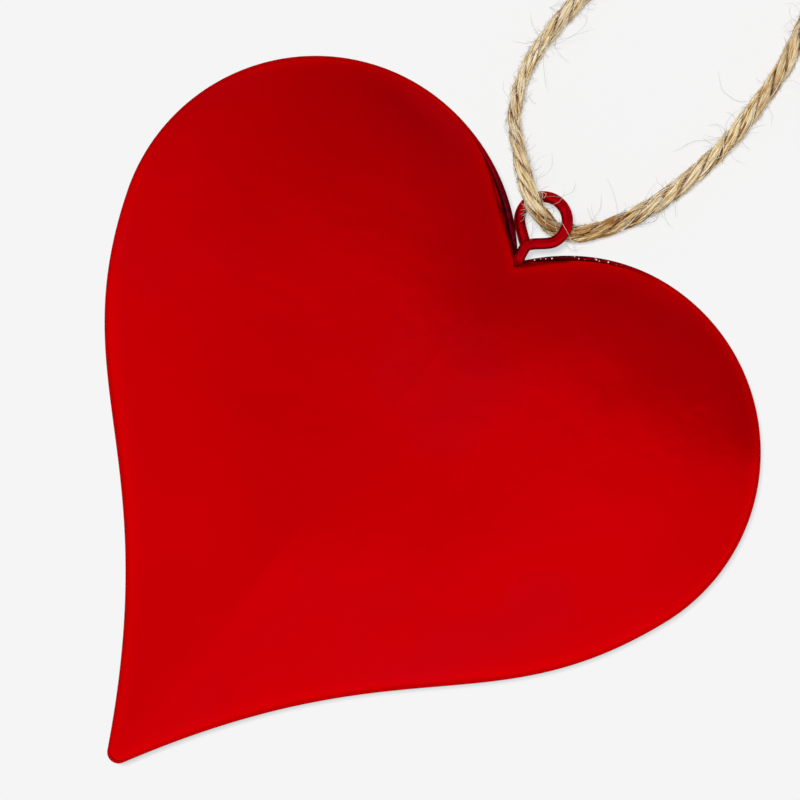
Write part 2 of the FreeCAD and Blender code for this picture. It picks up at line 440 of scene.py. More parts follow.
@dataclass(frozen=True)
class LacqueredSolder(Finish):
    """Solder filed by hand and lacquered with the rest: dark and dull, with bare bright specks."""

    name: str = "red_lacquer_on_solder"
    flush_colour: str = "CC0006"
    colour: str = "78000E"
    dark_colour: str = "4C000A"
    # Painted highlight: a plum reflection line laid along the worked left ridge.
    painted_highlight_colour: str = "6A1844"
    # Painted shade: the darker red laid in the crease beside the shell's wall, at the outer edge of the
    # flush rim and at the fillet's foot.
    crease_shade_colour: str = "34000A"
    edge_tint: str = "60000A"
    speck_colour: str = "FFF0F0"
    roughness: float = 0.36
    lump_size: float = 1.1
    lump_depth: float = 0.05
    speck_spacing: float = 0.65
    speck_radius: float = 0.22

    def inputs(self, graph: Graph) -> dict[str, Any]:
        """Lay the lumps' colour over the flush lacquer where the seam is worked, then a painted highlight,
        painted shade in the crease and the specks, each by the bead's own attributes.

        Args:
            graph: The material's node tree.

        Returns:
            What feeds the shader, by the name of its input.
        """
        place = graph.add("TexCoord")["Object"]
        worked, crease, painted_highlight, bare = (graph.add("Attribute", attribute_name=name)["Fac"]
                                       for name in ("worked", "crease", "painted_highlight", "bare"))
        lumps = graph.add("TexNoise", {"Vector": place, "Scale": 1 / (self.lump_size * MM),
                                       "Detail": 3.0})["Fac"]
        solder = graph.add("ValToRGB", {"Fac": lumps}, [(0.4, self.dark_colour), (0.62, self.colour)])
        cells = graph.add("TexVoronoi", {"Vector": place, "Scale": 1 / (self.speck_spacing * MM)})
        spot = graph.add("Math", {0: cells["Distance"], 1: self.speck_radius}, operation="LESS_THAN")
        speck = graph.add("Math", {0: spot[0], 1: bare}, operation="MULTIPLY")
        bump = graph.add("Bump", {"Height": lumps, "Distance": self.lump_depth * MM})
        colour = graph.layered(self.flush_colour, (worked, solder["Color"]), (painted_highlight, self.painted_highlight_colour),
                               (crease, self.crease_shade_colour), (speck[0], self.speck_colour))
        return {"Base Color": colour, "Metallic": 1.0, "Specular Tint": self.edge_tint,
                "Normal": bump["Normal"]}


@dataclass(frozen=True)
class LacqueredWire(Finish):
    """Red lacquer over drawn steel wire: smooth and glossy, pooled darker in places."""

    name: str = "red_lacquer_on_wire"
    colour: str = "BE0010"
    dark_colour: str = "A2000E"
    edge_tint: str = "78001C"
    roughness: float = 0.36
    metallic: float = 0.95
    patch_size: float = 2.4
    mark_depth: float = 0.008

    def inputs(self, graph: Graph) -> dict[str, Any]:
        """Pool the lacquer darker, with slight draw marks.

        Args:
            graph: The material's node tree.

        Returns:
            What feeds the shader, by the name of its input.
        """
        place = graph.add("TexCoord")["Object"]
        pools = graph.add("TexNoise", {"Vector": place, "Scale": 1 / (self.patch_size * MM),
                                       "Detail": 2.0})["Fac"]
        colour = graph.add("ValToRGB", {"Fac": pools}, [(0.36, self.dark_colour), (0.54, self.colour)])
        bump = graph.add("Bump", {"Height": pools, "Distance": self.mark_depth * MM})
        return {"Base Color": colour["Color"], "Metallic": self.metallic, "Specular Tint": self.edge_tint,
                "Normal": bump["Normal"]}


@dataclass(frozen=True)
class JuteFibre(Finish):
    """Raw jute, spun and plied: pale straw fibres and tan between them, with painted brown shade in the
    hollows between the plies.
    """

    name: str = "raw_jute"
    cream_colour: str = "FFFAEA"
    pale_colour: str = "FEF0CC"
    straw_colour: str = "EAD09A"
    tan_colour: str = "BA9052"
    brown_colour: str = "7A4614"
    hollow_shade_colour: str = "5C2806"
    rust_colour: str = "D09C5C"
    drift_length: float = 9.0
    drift_start: float = 0.42
    drift_full: float = 0.68
    drift_strength: float = 0.35
    streak_contrast: float = 2.9
    roughness: float = 0.70
    shine: float = 0.12
    fibre_depth: float = 0.05

    def inputs(self, graph: Graph) -> dict[str, Any]:
        """Streak the fibres by the pieces' tone and grain, and lay painted shade over them by their hollow
        attribute.

        Args:
            graph: The material's node tree.

        Returns:
            What feeds the shader, by the name of its input.
        """
        tone, hollow = (graph.add("Attribute", attribute_name=name)["Fac"] for name in ("tone", "hollow"))
        grain = graph.add("Attribute", attribute_name="grain")["Vector"]
        streaks = graph.add("TexNoise", {"Vector": grain, "Scale": 1.0, "Detail": 3.0})["Fac"]
        swing = graph.add("Math", {0: streaks, 1: self.streak_contrast, 2: -self.streak_contrast / 2},
                          operation="MULTIPLY_ADD")
        level = graph.add("Math", {0: tone, 1: swing[0]})
        fibres = graph.add("ValToRGB", {"Fac": level[0]},
                           [(0.0, self.brown_colour), (0.22, self.tan_colour), (0.5, self.straw_colour),
                            (0.78, self.pale_colour), (1.0, self.cream_colour)])
        place = graph.add("TexCoord")["Object"]
        patches = graph.add("TexNoise", {"Vector": place, "Scale": 1 / (self.drift_length * MM),
                                         "Detail": 2.0})
        rust = graph.add("MapRange", {"Value": patches["Fac"], "From Min": self.drift_start,
                                      "From Max": self.drift_full, "To Max": self.drift_strength})
        bump = graph.add("Bump", {"Height": streaks, "Distance": self.fibre_depth * MM})
        # Painted shade: brown laid into the hollows between the plies.
        colour = graph.layered(fibres["Color"], (rust["Result"], self.rust_colour),
                               (hollow, self.hollow_shade_colour))
        return {"Base Color": colour, "Specular IOR Level": self.shine, "Normal": bump["Normal"]}


@dataclass(frozen=True)
class JuteHair(Finish):
    """Single jute hairs: straw at the root, and so thin further out that they look grey-white."""

    name: str = "stray_jute_hair"
    pale_colour: str = "DEDCD6"
    dark_colour: str = "AAA69E"
    root_colour: str = "E6CC98"
    root_end: float = 0.4
    free_start: float = 1.2
    roughness: float = 0.6
    shine: float = 0.3

    def inputs(self, graph: Graph) -> dict[str, Any]:
        """Colour each hair by its tone, and its root by the grain, which counts along it.

        Args:
            graph: The material's node tree.

        Returns:
            What feeds the shader, by the name of its input.
        """
        tone = graph.add("Attribute", attribute_name="tone")["Fac"]
        grey = graph.add("ValToRGB", {"Fac": tone}, [(0.4, self.dark_colour), (1.0, self.pale_colour)])
        grain = graph.add("Attribute", attribute_name="grain")["Vector"]
        along = graph.add("SeparateXYZ", {"Vector": grain})["Z"]
        free = graph.add("MapRange", {"Value": along, "From Min": self.root_end,
                                      "From Max": self.free_start})
        return {"Base Color": graph.layered(self.root_colour, (free["Result"], grey["Color"])),
                "Specular IOR Level": self.shine}


@dataclass(frozen=True)
class Finishes:
    """The finishes that the pieces share."""

    tin: bpy.types.Material = field(default_factory=lambda: LacqueredTin().material())
    solder: bpy.types.Material = field(default_factory=lambda: LacqueredSolder().material())
    wire: bpy.types.Material = field(default_factory=lambda: LacqueredWire().material())
    jute: bpy.types.Material = field(default_factory=lambda: JuteFibre().material())
    hair: bpy.types.Material = field(default_factory=lambda: JuteHair().material())


@dataclass
class Studio:
    """The camera straight above, a pale floor and soft light from the picture's upper left."""

    view_centre: tuple[float, float] = (-0.2, 17.85)
    turn_deg: float = 38.78
    rim_height: float = 6.0
    camera_distance: float = 900.0
    frame_width: float = 140.8
    floor_size: float = 3000.0
    floor_glow: tuple[float, float, float] = (0.495, 0.502, 0.513)
    floor_paint: float = 0.43
    plain_floor: float = 0.80
    backdrop: float = 0.913
    sun_level: float = 0.70
    sun_tint: tuple[float, float, float] = (1.0, 0.975, 0.94)
    sun_lean_deg: float = 8.5
    sun_width_deg: float = 10.0
    tin_red: float = 0.62
    diffuse_share: float = 0.345
    # The room has a dim upper part and a bright lower one. A step says how far to the right or to the
    # top it starts and ends, and its height.
    edge_height: float = 0.16
    edge_rises: Triples = ((0.0, 0.3, 0.155), (0.3, 0.65, 0.05))
    edge_softness: float = 0.08
    edge_softening: tuple[float, float, float] = (0.05, -0.4, 0.4)
    upper_level: float = 0.32
    upper_rise: tuple[float, float, float] = (0.3, -0.6, 0.16)
    upper_fall: tuple[float, float, float] = (-0.1, -0.6, -0.115)
    upper_fall_span: tuple[float, float] = (0.3, 0.7)
    lower_level: float = 0.56
    lower_rise: tuple[float, float, float] = (-0.2, -0.5, 0.02)
    lower_fall: tuple[float, float, float] = (0.35, 0.7, -0.03)
    # Where the tin reflects a brighter or darker patch of the room: how far it lies to the right and
    # to the top, the squares of the distances from there at which it starts and is full, its strength.
    patches: tuple[tuple[float, float, float, float, float], ...] = (
        (-0.06, 0.02, 0.04, 0.0, -0.065), (0.0, 0.0, 0.49, 0.9, 0.06), (0.15, -0.13, 0.035, 0.0, 0.05),
        (0.42, 0.58, 0.03, 0.0, 0.05), (0.21, 0.48, 0.025, 0.0, -0.04))

    @property
    def right(self) -> Vector:
        """The picture's right in the frame."""
        turn = math.radians(self.turn_deg)
        return Vector((math.cos(turn), math.sin(turn), 0))

    @property
    def top(self) -> Vector:
        """The picture's upward direction in the frame."""
        return UP.cross(self.right)

    def camera(self) -> None:
        """Place the camera that the photograph was taken with."""
        data = bpy.data.cameras.new("camera")
        data.sensor_fit = "HORIZONTAL"
        data.angle = 2 * math.atan(self.frame_width / 2 / self.camera_distance)
        data.clip_end = 100.0
        camera = bpy.data.objects.new("camera", data)
        across, along = self.view_centre
        camera.location = Vector((across, along, self.rim_height + self.camera_distance)) * MM
        camera.rotation_euler = (0, 0, math.radians(self.turn_deg))
        bpy.context.scene.collection.objects.link(camera)
        bpy.context.scene.camera = camera

    def floor(self) -> None:
        """Lay the floor: pale to the eye and in reflections, with a faint shadow."""
        mesh = bmesh.new()
        bmesh.ops.create_grid(mesh, x_segments=1, y_segments=1, size=self.floor_size / 2 * MM)
        floor = finish_piece("floor", mesh)
        material = bpy.data.materials.new("pale_floor")
        graph = Graph(material)
        material.cycles.emission_sampling = "NONE"
        paths = graph.add("LightPath")
        seen = graph.add("Math", {0: paths["Is Camera Ray"], 1: paths["Is Glossy Ray"]},
                         operation="MAXIMUM")
        glow = graph.add("Emission", {"Color": (*self.floor_glow, 1), "Strength": 1.0})
        faint, plain = (graph.add("BsdfDiffuse", {"Color": (*[paint] * 3, 1)})
                        for paint in (self.floor_paint, self.plain_floor))
        both = graph.add("AddShader", {0: glow[0], 1: faint[0]})
        pick = graph.add("MixShader", {0: seen[0], 1: plain[0], 2: both[0]})
        graph.add("OutputMaterial", {"Surface": pick[0]})
        floor.data.materials.append(material)

    def lamp(self) -> None:
        """Hang the soft lamp, which throws the shadow to the picture's lower right."""
        data = bpy.data.lights.new("soft_lamp", "SUN")
        data.energy = self.sun_level * math.pi
        data.color = self.sun_tint
        data.angle = math.radians(self.sun_width_deg)
        lamp = bpy.data.objects.new("soft_lamp", data)
        lean = math.radians(self.sun_lean_deg)
        aside = (self.right - self.top).normalized()
        shines = aside * math.sin(lean) - UP * math.cos(lean)
        lamp.rotation_euler = shines.to_track_quat("-Z", "Y").to_euler()
        lamp.visible_glossy = False
        bpy.context.scene.collection.objects.link(lamp)

    def sky(self) -> None:
        """Make the room's light: brighter to the left and below, as the tin reflects it."""
        world = bpy.data.worlds.new("room_light")
        bpy.context.scene.world = world
        graph = Graph(world)
        world.cycles.sampling_method = "NONE"
        direction = graph.add("TexCoord")["Generated"]
        across, upward = (graph.add("VectorMath", {0: direction, 1: axis}, operation="DOT_PRODUCT")["Value"]
                          for axis in (self.right, self.top))
        # The edge between the two parts is lower to the right, and softer on the left.
        rising = graph.stepped(upward, *((across, *step) for step in self.edge_rises))
        over = graph.add("Math", {0: rising, 1: self.edge_height}, operation="SUBTRACT")
        softness = graph.stepped(self.edge_softness, (across, *self.edge_softening))
        steep = graph.add("Math", {0: over[0], 1: softness}, operation="DIVIDE")
        edge = graph.stepped(0.0, (steep[0], -0.5, 0.5, 1.0))
        fall = graph.stepped(0.0, (across, *self.upper_fall))
        above = graph.stepped(self.upper_level, (across, *self.upper_rise),
                              (upward, *self.upper_fall_span, fall))
        below = graph.stepped(self.lower_level, (upward, *self.lower_rise), (across, *self.lower_fall))
        level = graph.add("Mix", {0: edge, 2: below, 3: above})[0]
        aim = graph.add("CombineXYZ", {0: across, 1: upward})[0]
        for right, top, start, end, height in self.patches:
            lean = graph.add("VectorMath", {0: aim, 1: (right, top, 0)}, operation="SUBTRACT")[0]
            square = graph.add("VectorMath", {0: lean, 1: lean}, operation="DOT_PRODUCT")["Value"]
            level = graph.stepped(level, (square, start, end, height))
        level = graph.add("Math", {0: level, 1: self.tin_red}, operation="DIVIDE")[0]
        dimmed = graph.add("Math", {0: level, 1: self.diffuse_share}, operation="MULTIPLY")[0]
        paths = graph.add("LightPath")
        lit = graph.add("Mix", {0: paths["Is Glossy Ray"], 2: dimmed, 3: level})[0]
        shown = graph.add("Mix", {0: paths["Is Camera Ray"], 2: lit, 3: self.backdrop})[0]
        background = graph.add("Background", {"Color": (1, 1, 1, 1), "Strength": shown})
        graph.add("OutputWorld", {"Surface": background[0]})

    def build(self) -> None:
        """Set up the camera, the floor and the light."""
        bpy.context.scene.view_settings.view_transform = "Standard"
        self.camera()
        self.floor()
        self.lamp()
        self.sky()


@dataclass(frozen=True)
class HeartForm:
    """The heart's outline and pressed form, in millimetres."""

    lobe_radius: float = 35.0
    lobe_overlap: float = 14.4
    lobe_centre_above_tip: float = 92.0
    flank_start_deg: float = 20.0
    flank_upper_pull: float = 36.0
    flank_lower_pull: float = 54.0
    tip_radius: float = 2.0
    tip_half_angle_deg: float = 28.0
    spine_top_above_tip: float = 78.0
    spine_low_above_tip: float = 50.0
    valley_sag: float = 6.0
    ridge_blunt: float = 18.0
    fade_power: int = 3
    rim_height: float = 6.0
    seam_width: float = 0.3
    left_seam_width: float = 1.2
    right_seam_width: float = 0.7
    seam_spread_length: float = 7.0
    seam_hold_length: float = 10.0
    seam_end_length: float = 28.0
    cleft_drift: float = 0.7
    cleft_drift_length: float = 32.0
    lobe_steps: int = 96
    flank_steps: int = 72
    tip_steps: int = 12

    @property
    def lobe_x(self) -> float:
        """How far a lobe's centre lies from the middle."""
        return self.lobe_radius - self.lobe_overlap / 2

    @property
    def tip_y(self) -> float:
        """The tip's place below the origin."""
        return -(self.lobe_centre_above_tip + self.lobe_radius) / 2

    @property
    def cleft_y(self) -> float:
        """Where the two lobes meet."""
        return self.tip_y + self.lobe_centre_above_tip + math.sqrt(self.lobe_radius ** 2 - self.lobe_x ** 2)

    def seam_at(self, side: Side, distance: float) -> float:
        """Width of the soldered seam at a distance along the lobe from the cleft.

        Args:
            side: The half of the heart.
            distance: The distance from the cleft.

        Returns:
            The width.
        """
        widest = self.right_seam_width if side is Side.RIGHT else self.left_seam_width
        spread = smooth(distance / self.seam_spread_length)
        return self.seam_width + (widest - self.seam_width) * spread * self.worked_at(distance)

    def worked_at(self, distance: float) -> float:
        """How much the seam was worked by hand: 1 beside the cleft, and 0 far from it."""
        fade = self.seam_end_length - self.seam_hold_length
        return 1 - smooth((distance - self.seam_hold_length) / fade)

    def flank_point(self, along: float) -> tuple[Vector, Vector]:
        """A point of the S-shaped flank, and the direction into the heart.

        Args:
            along: From 0 at the lobe to 1 at the tip.

        Returns:
            The point, above the tip, and the inward unit vector.
        """
        start = math.radians(self.flank_start_deg)
        tip = math.radians(self.tip_half_angle_deg)
        first = Vector((self.lobe_x, self.lobe_centre_above_tip, 0))
        first += Vector((math.cos(start), -math.sin(start), 0)) * self.lobe_radius
        last = Vector((self.tip_radius * math.cos(tip), self.tip_radius * (1 - math.sin(tip)), 0))
        second = first + Vector((-math.sin(start), -math.cos(start), 0)) * self.flank_upper_pull
        third = last + Vector((math.sin(tip), math.cos(tip), 0)) * self.flank_lower_pull
        hull = [first, second, third, last]
        while len(hull) > 2:
            hull = [before.lerp(after, along) for before, after in zip(hull, hull[1:])]
        slope = (hull[1] - hull[0]).normalized()
        return hull[0].lerp(hull[1], along), Vector((slope.y, -slope.x, 0))

    def half_outline(self, inset_at: Callable[[float], float]) -> Ring:
        """The right half of the outline, from the cleft to the tip.

        Args:
            inset_at: How far inside the outline to stay, by the distance from the cleft.

        Returns:
            The points, above the tip.
        """
        centre = Vector((self.lobe_x, self.lobe_centre_above_tip, 0))
        first = math.acos(-self.lobe_x / (self.lobe_radius - inset_at(0.0)))
        last = -math.radians(self.flank_start_deg)
        points = []
        for step in range(self.lobe_steps):
            angle = first + (last - first) * step / self.lobe_steps
            radius = self.lobe_radius - inset_at(self.lobe_radius * (first - angle))
            points.append(centre + Vector((math.cos(angle), math.sin(angle), 0)) * radius)
        far = inset_at(self.lobe_radius * (first - last))
        for step in range(self.flank_steps):
            point, inward = self.flank_point(step / self.flank_steps)
            points.append(point + inward * far)
        start = -math.radians(self.tip_half_angle_deg)
        radius = self.tip_radius - far
        for step in range(self.tip_steps + 1):
            angle = start + (-math.pi / 2 - start) * step / self.tip_steps
            points.append(Vector((radius * math.cos(angle), self.tip_radius + radius * math.sin(angle), 0)))
        points[0].x = 0.0
        points[-1].x = 0.0
        return points

    @cached_property
    def distances(self) -> list[float]:
        """Distance along the half outline from the cleft, point by point."""
        return Line(self.half_outline(lambda distance: 0.0)).distances

    @cached_property
    def shares(self) -> list[float]:
        """The same distances as shares of the whole."""
        return [distance / self.distances[-1] for distance in self.distances]

    def outline_ring(self, inset_at: Callable[[Side, float], float]) -> list[tuple[Vector, float]]:
        """The whole outline, from the cleft down the right half and back up the left one.

        Args:
            inset_at: How far inside the outline to stay, by side and distance from the cleft.

        Returns:
            Points above the tip, each with its share of the way along its half.
        """
        halves = []
        for side in (Side.RIGHT, Side.LEFT):
            half = []
            points = self.half_outline(lambda distance, side=side: inset_at(side, distance))
            for point, distance, share in zip(points, self.distances, self.shares):
                drift = self.cleft_drift * (1 - smooth(distance / self.cleft_drift_length))
                half.append((Vector((side.value * point.x + drift, point.y, 0)), share))
            halves.append(half)
        return halves[0] + halves[1][-2::-1]

    def soft_point(self, point: Vector, share: float) -> Vector:
        """Where the crown sees an outline point: the cleft is filled and the tip blunted.

        Args:
            point: The outline point, above the tip.
            share: Its share of the way from the cleft to the tip.

        Returns:
            The softened point.
        """
        lobe_share = self.shares[self.lobe_steps]
        height = point.y
        if abs(point.x) < self.lobe_x and share < lobe_share:
            top = math.hypot(abs(point.x) - self.lobe_x, point.y - self.lobe_centre_above_tip)
            sag = self.valley_sag * (1 + math.cos(math.pi * point.x / self.lobe_x)) / 2
            height = self.lobe_centre_above_tip + top - sag
        low = smooth((share - lobe_share) / (1 - lobe_share))
        return Vector((point.x, height + (math.hypot(point.y, self.ridge_blunt) - height) * low, 0))

    def spine_point(self, share: float) -> Vector:
        """The point of the crown's spine that an outline point looks to, above the tip."""
        reach = self.spine_low_above_tip - self.spine_top_above_tip
        return Vector((0, self.spine_top_above_tip + reach * share, 0))

    def contour(self, ring: Sequence[tuple[Vector, float]], level: float, height: float) -> Ring:
        """One height contour of the pressed form.

        Args:
            ring: The outline ring that it belongs to.
            level: 1 at the rim and 0 on the spine of the crown.
            height: The contour's height above the rim.

        Returns:
            The contour's points in metres, in the frame's place.
        """
        fade = level ** self.fade_power
        lift = Vector((0, self.tip_y, self.rim_height + height))
        points = []
        for edge, share in ring:
            spine = self.spine_point(share)
            reach = (edge - spine) * fade + (self.soft_point(edge, share) - spine) * (1 - fade)
            points.append((spine + reach * level + lift) * MM)
        return points


@dataclass
class TinShells:
    """The two pressed shells, each a domed wall of tinplate closed at its rim."""

    form: HeartForm
    sheet: float = 0.4
    front_crown: float = 6.3
    rear_crown: float = 6.4
    rest_flat_depth: float = 0.4
    outer_steps: int = 60
    inner_steps: int = 10

    def wall(self, crown: float, flat_angle: float, face: Face, inset: float, steps: int) -> Strip:
        """Contours of one side of the sheet, from the crown's spine to the rim.

        Args:
            crown: The crown's height from the rim.
            flat_angle: Where the level flat at the crown begins, or a right angle for none.
            face: The shell.
            inset: How far this side lies inside the outer one.
            steps: How many contours lie between the flat and the rim.

        Returns:
            The contours, the first of them drawn in to the spine.
        """
        ring = self.form.outline_ring(lambda side, distance: inset + self.form.seam_at(side, distance))
        depth = face.value * (crown - inset)
        contours = [self.form.contour(ring, 0.0, depth * math.sin(flat_angle))]
        for step in range(steps + 1):
            angle = flat_angle * (1 - step / steps)
            contours.append(self.form.contour(ring, math.cos(angle), depth * math.sin(angle)))
        return contours

    def shell(self, name: str, crown: float, flat_depth: float, face: Face) -> bpy.types.Object:
        """Press one shell.

        Args:
            name: The piece's name.
            crown: The crown's height from the rim, before its flat.
            flat_depth: The height that the level flat takes off the crown.
            face: The shell.

        Returns:
            The piece.
        """
        flat_angle = math.asin((crown - flat_depth) / crown)
        outer = self.wall(crown, flat_angle, face, 0.0, self.outer_steps)
        inner = self.wall(crown, flat_angle, face, self.sheet, self.inner_steps)
        mesh = bmesh.new()
        skin(mesh, [outer + inner[::-1]])
        return finish_piece(name, mesh)

    def build(self, finishes: Finishes) -> None:
        """Build and dress both shells.

        Args:
            finishes: The finishes that the pieces share.
        """
        for name, node, crown, flat_depth, face in (
                ("tin_face", "front_shell", self.front_crown, 0.0, Face.FRONT),
                ("tin_back", "rear_shell", self.rear_crown, self.rest_flat_depth, Face.REAR)):
            fit_out(self.shell(name, crown, flat_depth, face), finishes.tin, Body.HEART, [node])


@dataclass
class SolderedSeam:
    """The bead of solder round the rim, and the fillet round the wire in the cleft."""

    form: HeartForm
    half_height: float = 0.54
    tuck: float = 0.25
    wobble: float = 0.07
    wobble_length: float = 1.6
    bare_start: float = 2.0
    bare_length: float = 17.0
    bare_fade: float = 5.0
    # A painted highlight along the left ridge: its strength, and its middle and reach across the bead.
    painted_highlight: float = 0.45
    painted_highlight_middle: float = 0.6
    painted_highlight_reach: float = 0.15
    # Painted shade in the crease beside the shell's wall, where the seam is worked: where it starts across
    # the bead and how soon it is full.
    crease_shade_start: float = 0.68
    crease_shade_rise: float = 0.18
    outer_shade: float = 0.38
    outer_reach: float = 0.5
    fillet_radius: float = 1.35
    fillet_lip: float = 1.06
    fillet_depth: float = 1.0
    fillet_rise: float = 1.1
    fillet_squash: float = 0.85
    fillet_lump: float = 0.06
    fillet_worked: float = 0.2
    # Painted shade at the fillet's foot, where it meets the tin: its strength, and how far up the wire it
    # reaches.
    fillet_foot_shade: float = 0.8
    foot_shade_top: float = 0.3
    fillet_steps: int = 8
    fillet_sides: int = 48
    shank_x: float = 0.58
    shank_height: float = 6.4
    shank_lean_deg: float = 9.8
    ridge_shares: tuple[tuple[float, float], ...] = (
        (0.0, 0.0), (0.05, 0.60), (0.14, 0.90), (0.28, 1.0), (0.46, 0.98), (0.62, 0.88), (0.74, 0.70),
        (0.83, 0.46), (0.90, 0.34))
    flush_top: float = 0.88
    flush_power: float = 0.6

    def profile(self) -> list[tuple[float, float, float]]:
        """The bead's two sections, all the way round.

        Returns:
            For each point, its share of the bead's width, and its share of the half height where
            the bead is a ridge and where it is filed flush.
        """
        above = [(across, ridge, min(across / self.flush_top, 1.0) ** self.flush_power)
                 for across, ridge in self.ridge_shares]
        below = [(across, -ridge, -flush) for across, ridge, flush in reversed(above[1:])]
        return above + [(1.0, 0.0, 0.0)] + below + [above[0]]

    def bare_at(self, distance: float) -> float:
        """How much of the solder's specks show bare at a distance from the cleft."""
        fading = smooth((distance - self.bare_length) / self.bare_fade)
        return smooth(distance - self.bare_start) * (1 - fading)

    def bead(self) -> bpy.types.Object:
        """Run the bead: a ridge with a crease beside the cleft, and flush far from it.

        Returns:
            The piece.
        """
        profile = self.profile()
        rings = []
        for across, ridge, flush in profile:
            def inset_at(side: Side, distance: float, across: float = across) -> float:
                """How far inside the outline this point of the section runs."""
                return across * (self.form.seam_at(side, distance) + self.tuck)

            spots = []
            for point, share in self.form.outline_ring(inset_at):
                worked = self.form.worked_at(share * self.form.distances[-1])
                sink = abs(noise.noise(point / self.wobble_length)) * self.wobble * ridge * worked
                rise = self.form.rim_height + self.half_height * (flush + (ridge - flush) * worked) - sink
                spots.append((point + Vector((0, self.form.tip_y, rise))) * MM)
            rings.append(spots)
        mesh = bmesh.new()
        worked, crease, painted_highlight, bare = (mesh.verts.layers.float.new(name)
                                       for name in ("worked", "crease", "painted_highlight", "bare"))
        for vert, _, row, column in skin(mesh, [rings]):
            across = profile[row][0]
            on_right = column < len(self.form.distances)
            distance = self.form.distances[column if on_right else len(rings[0]) - 1 - column]
            vert[worked] = self.form.worked_at(distance)
            # Painted shade: in the crease beside the wall where the seam is worked, and at the outer edge
            # where it is flush.
            hollow = smooth((across - self.crease_shade_start) / self.crease_shade_rise)
            outer = self.outer_shade * (1 - smooth(across / self.outer_reach))
            vert[crease] = outer + (hollow - outer) * vert[worked]
            # Painted highlight: laid on the left ridge only, and only where it is worked.
            shine = self.painted_highlight * smooth(1 - abs(across - self.painted_highlight_middle) / self.painted_highlight_reach)
            vert[painted_highlight] = 0.0 if on_right else shine * vert[worked]
            vert[bare] = self.bare_at(distance) if on_right else 0.0
        return finish_piece("solder_seam", mesh)

    def fillet(self) -> bpy.types.Object:
        """Turn the fillet: full in the cleft, hollowed up to a thin edge on the wire, and lumpy.

        Returns:
            The piece.
        """
        lean = math.radians(self.shank_lean_deg)
        up = Vector((-math.sin(lean), math.cos(lean), 0))
        out = up.cross(UP)
        base = Vector((self.shank_x, self.form.cleft_y, self.shank_height))
        spots = [(0.0, -self.fillet_depth), (self.fillet_radius, -self.fillet_depth)]
        for step in range(self.fillet_steps + 1):
            turn = math.pi / 2 * step / self.fillet_steps
            hollow = self.fillet_radius - (self.fillet_radius - self.fillet_lip) * math.sin(turn)
            spots.append((hollow, self.fillet_rise * (1 - math.cos(turn))))
        spots.append((0.0, self.fillet_rise))
        mesh = bmesh.new()
        verts = [mesh.verts.new((base + out * radius + up * along) * MM) for radius, along in spots]
        edges = [mesh.edges.new(pair) for pair in zip(verts, verts[1:])]
        bmesh.ops.spin(mesh, geom=verts + edges, cent=base * MM, axis=up, dvec=(0, 0, 0),
                       angle=math.tau, steps=self.fillet_sides, use_merge=True)
        worked, crease = (mesh.verts.layers.float.new(name) for name in ("worked", "crease"))
        for vert in mesh.verts:
            vert[worked] = self.fillet_worked
            along = (vert.co / MM - base).dot(up)
            # Painted shade at the fillet's foot.
            vert[crease] = self.fillet_foot_shade * smooth(self.foot_shade_top - along)
            lump = noise.noise(vert.co / MM / self.wobble_length) * self.fillet_lump * MM
            vert.co.z = base.z * MM + (vert.co.z - base.z * MM) * self.fillet_squash + lump
        return finish_piece("cleft_fillet", mesh)

    def build(self, finishes: Finishes) -> None:
        """Build and dress the bead and the fillet."""
        fit_out(self.bead(), finishes.solder, Body.HEART, ["edge_seam"])
        fit_out(self.fillet(), finishes.solder, Body.HEART, ["cleft_solder"])


@dataclass
class WireEye:
    """The eye: a shank out of the cleft, a bend, one turn of wire, and its end under the shank."""

    form: HeartForm
    wire_diameter: float = 2.0
    radius: float = 4.2
    offset: float = -0.3
    above_cleft: float = 8.54
    lift: float = 0.4
    pitch: float = 2.15
    start_deg: float = -45.0
    end_deg: float = 235.0
    shank_lean_deg: float = 9.8
    buried_length: float = 6.0
    tail_length: float = 3.0
    bend_shift: tuple[float, float, float] = (-0.22, 0.36, 0.0)
    bend_length: float = 1.5
    steps: int = 14
    sides: int = 28
    ring_step: float = 0.2
    end_rounding: float = 0.25

    @property
    def centre(self) -> Vector:
        """The middle of the eye, in the plane of the rim."""
        return Vector((self.offset, self.form.cleft_y + self.above_cleft, self.form.rim_height))

    def route(self) -> Ring:
        """Route the wire from its foot in the heart to its cut end.

        Returns:
            The control points, in metres.
        """
        lean = math.radians(self.shank_lean_deg)
        first = math.radians(self.start_deg)
        last = math.radians(self.end_deg)
        step_angle = (last - first) / self.steps
        corner_radius = self.radius / math.cos(step_angle / 2)
        shank_x = self.wire_diameter / 4
        entry = Vector((math.cos(first), math.sin(first), 0)) * self.radius
        bend = Vector((shank_x, entry.y - (entry.x - shank_x), 0)) + Vector(self.bend_shift)
        down = Vector((math.sin(lean), -math.cos(lean), 0))
        foot = bend + down * (self.above_cleft + self.buried_length + bend.y)
        points = [foot, bend + down * self.bend_length, bend]
        for step in range(self.steps):
            angle = first + step_angle * (step + 0.5)
            drop = self.pitch * (step + 0.5) / self.steps
            points.append(Vector((corner_radius * math.cos(angle), corner_radius * math.sin(angle), -drop)))
        leave = Vector((self.radius * math.cos(last), self.radius * math.sin(last), -self.pitch))
        points.append(leave + Vector((-math.sin(last), math.cos(last), 0)) * self.tail_length)
        return [(self.centre + UP * self.lift + point) * MM for point in points]

    def build(self, finishes: Finishes) -> None:
        """Build and dress the eye.

        Args:
            finishes: The finishes that the pieces share.
        """
        line = route_line("eye_route", self.route())
        radius = self.wire_diameter / 2 * MM
        rounding = self.end_rounding * MM

        def radius_at(distance: float) -> float:
            """The wire's radius at a distance along it, rounded off at its ends."""
            gap = 1 - min(min(distance, line.length - distance) / rounding, 1.0)
            return radius - rounding * (1 - math.sqrt(1 - gap * gap))

        mesh = bmesh.new()
        skin(mesh, [line.bar(radius_at, self.ring_step * MM, self.sides)])
        fit_out(finish_piece("wire_eye", mesh), finishes.wire, Body.HEART, ["hanger_eye"])


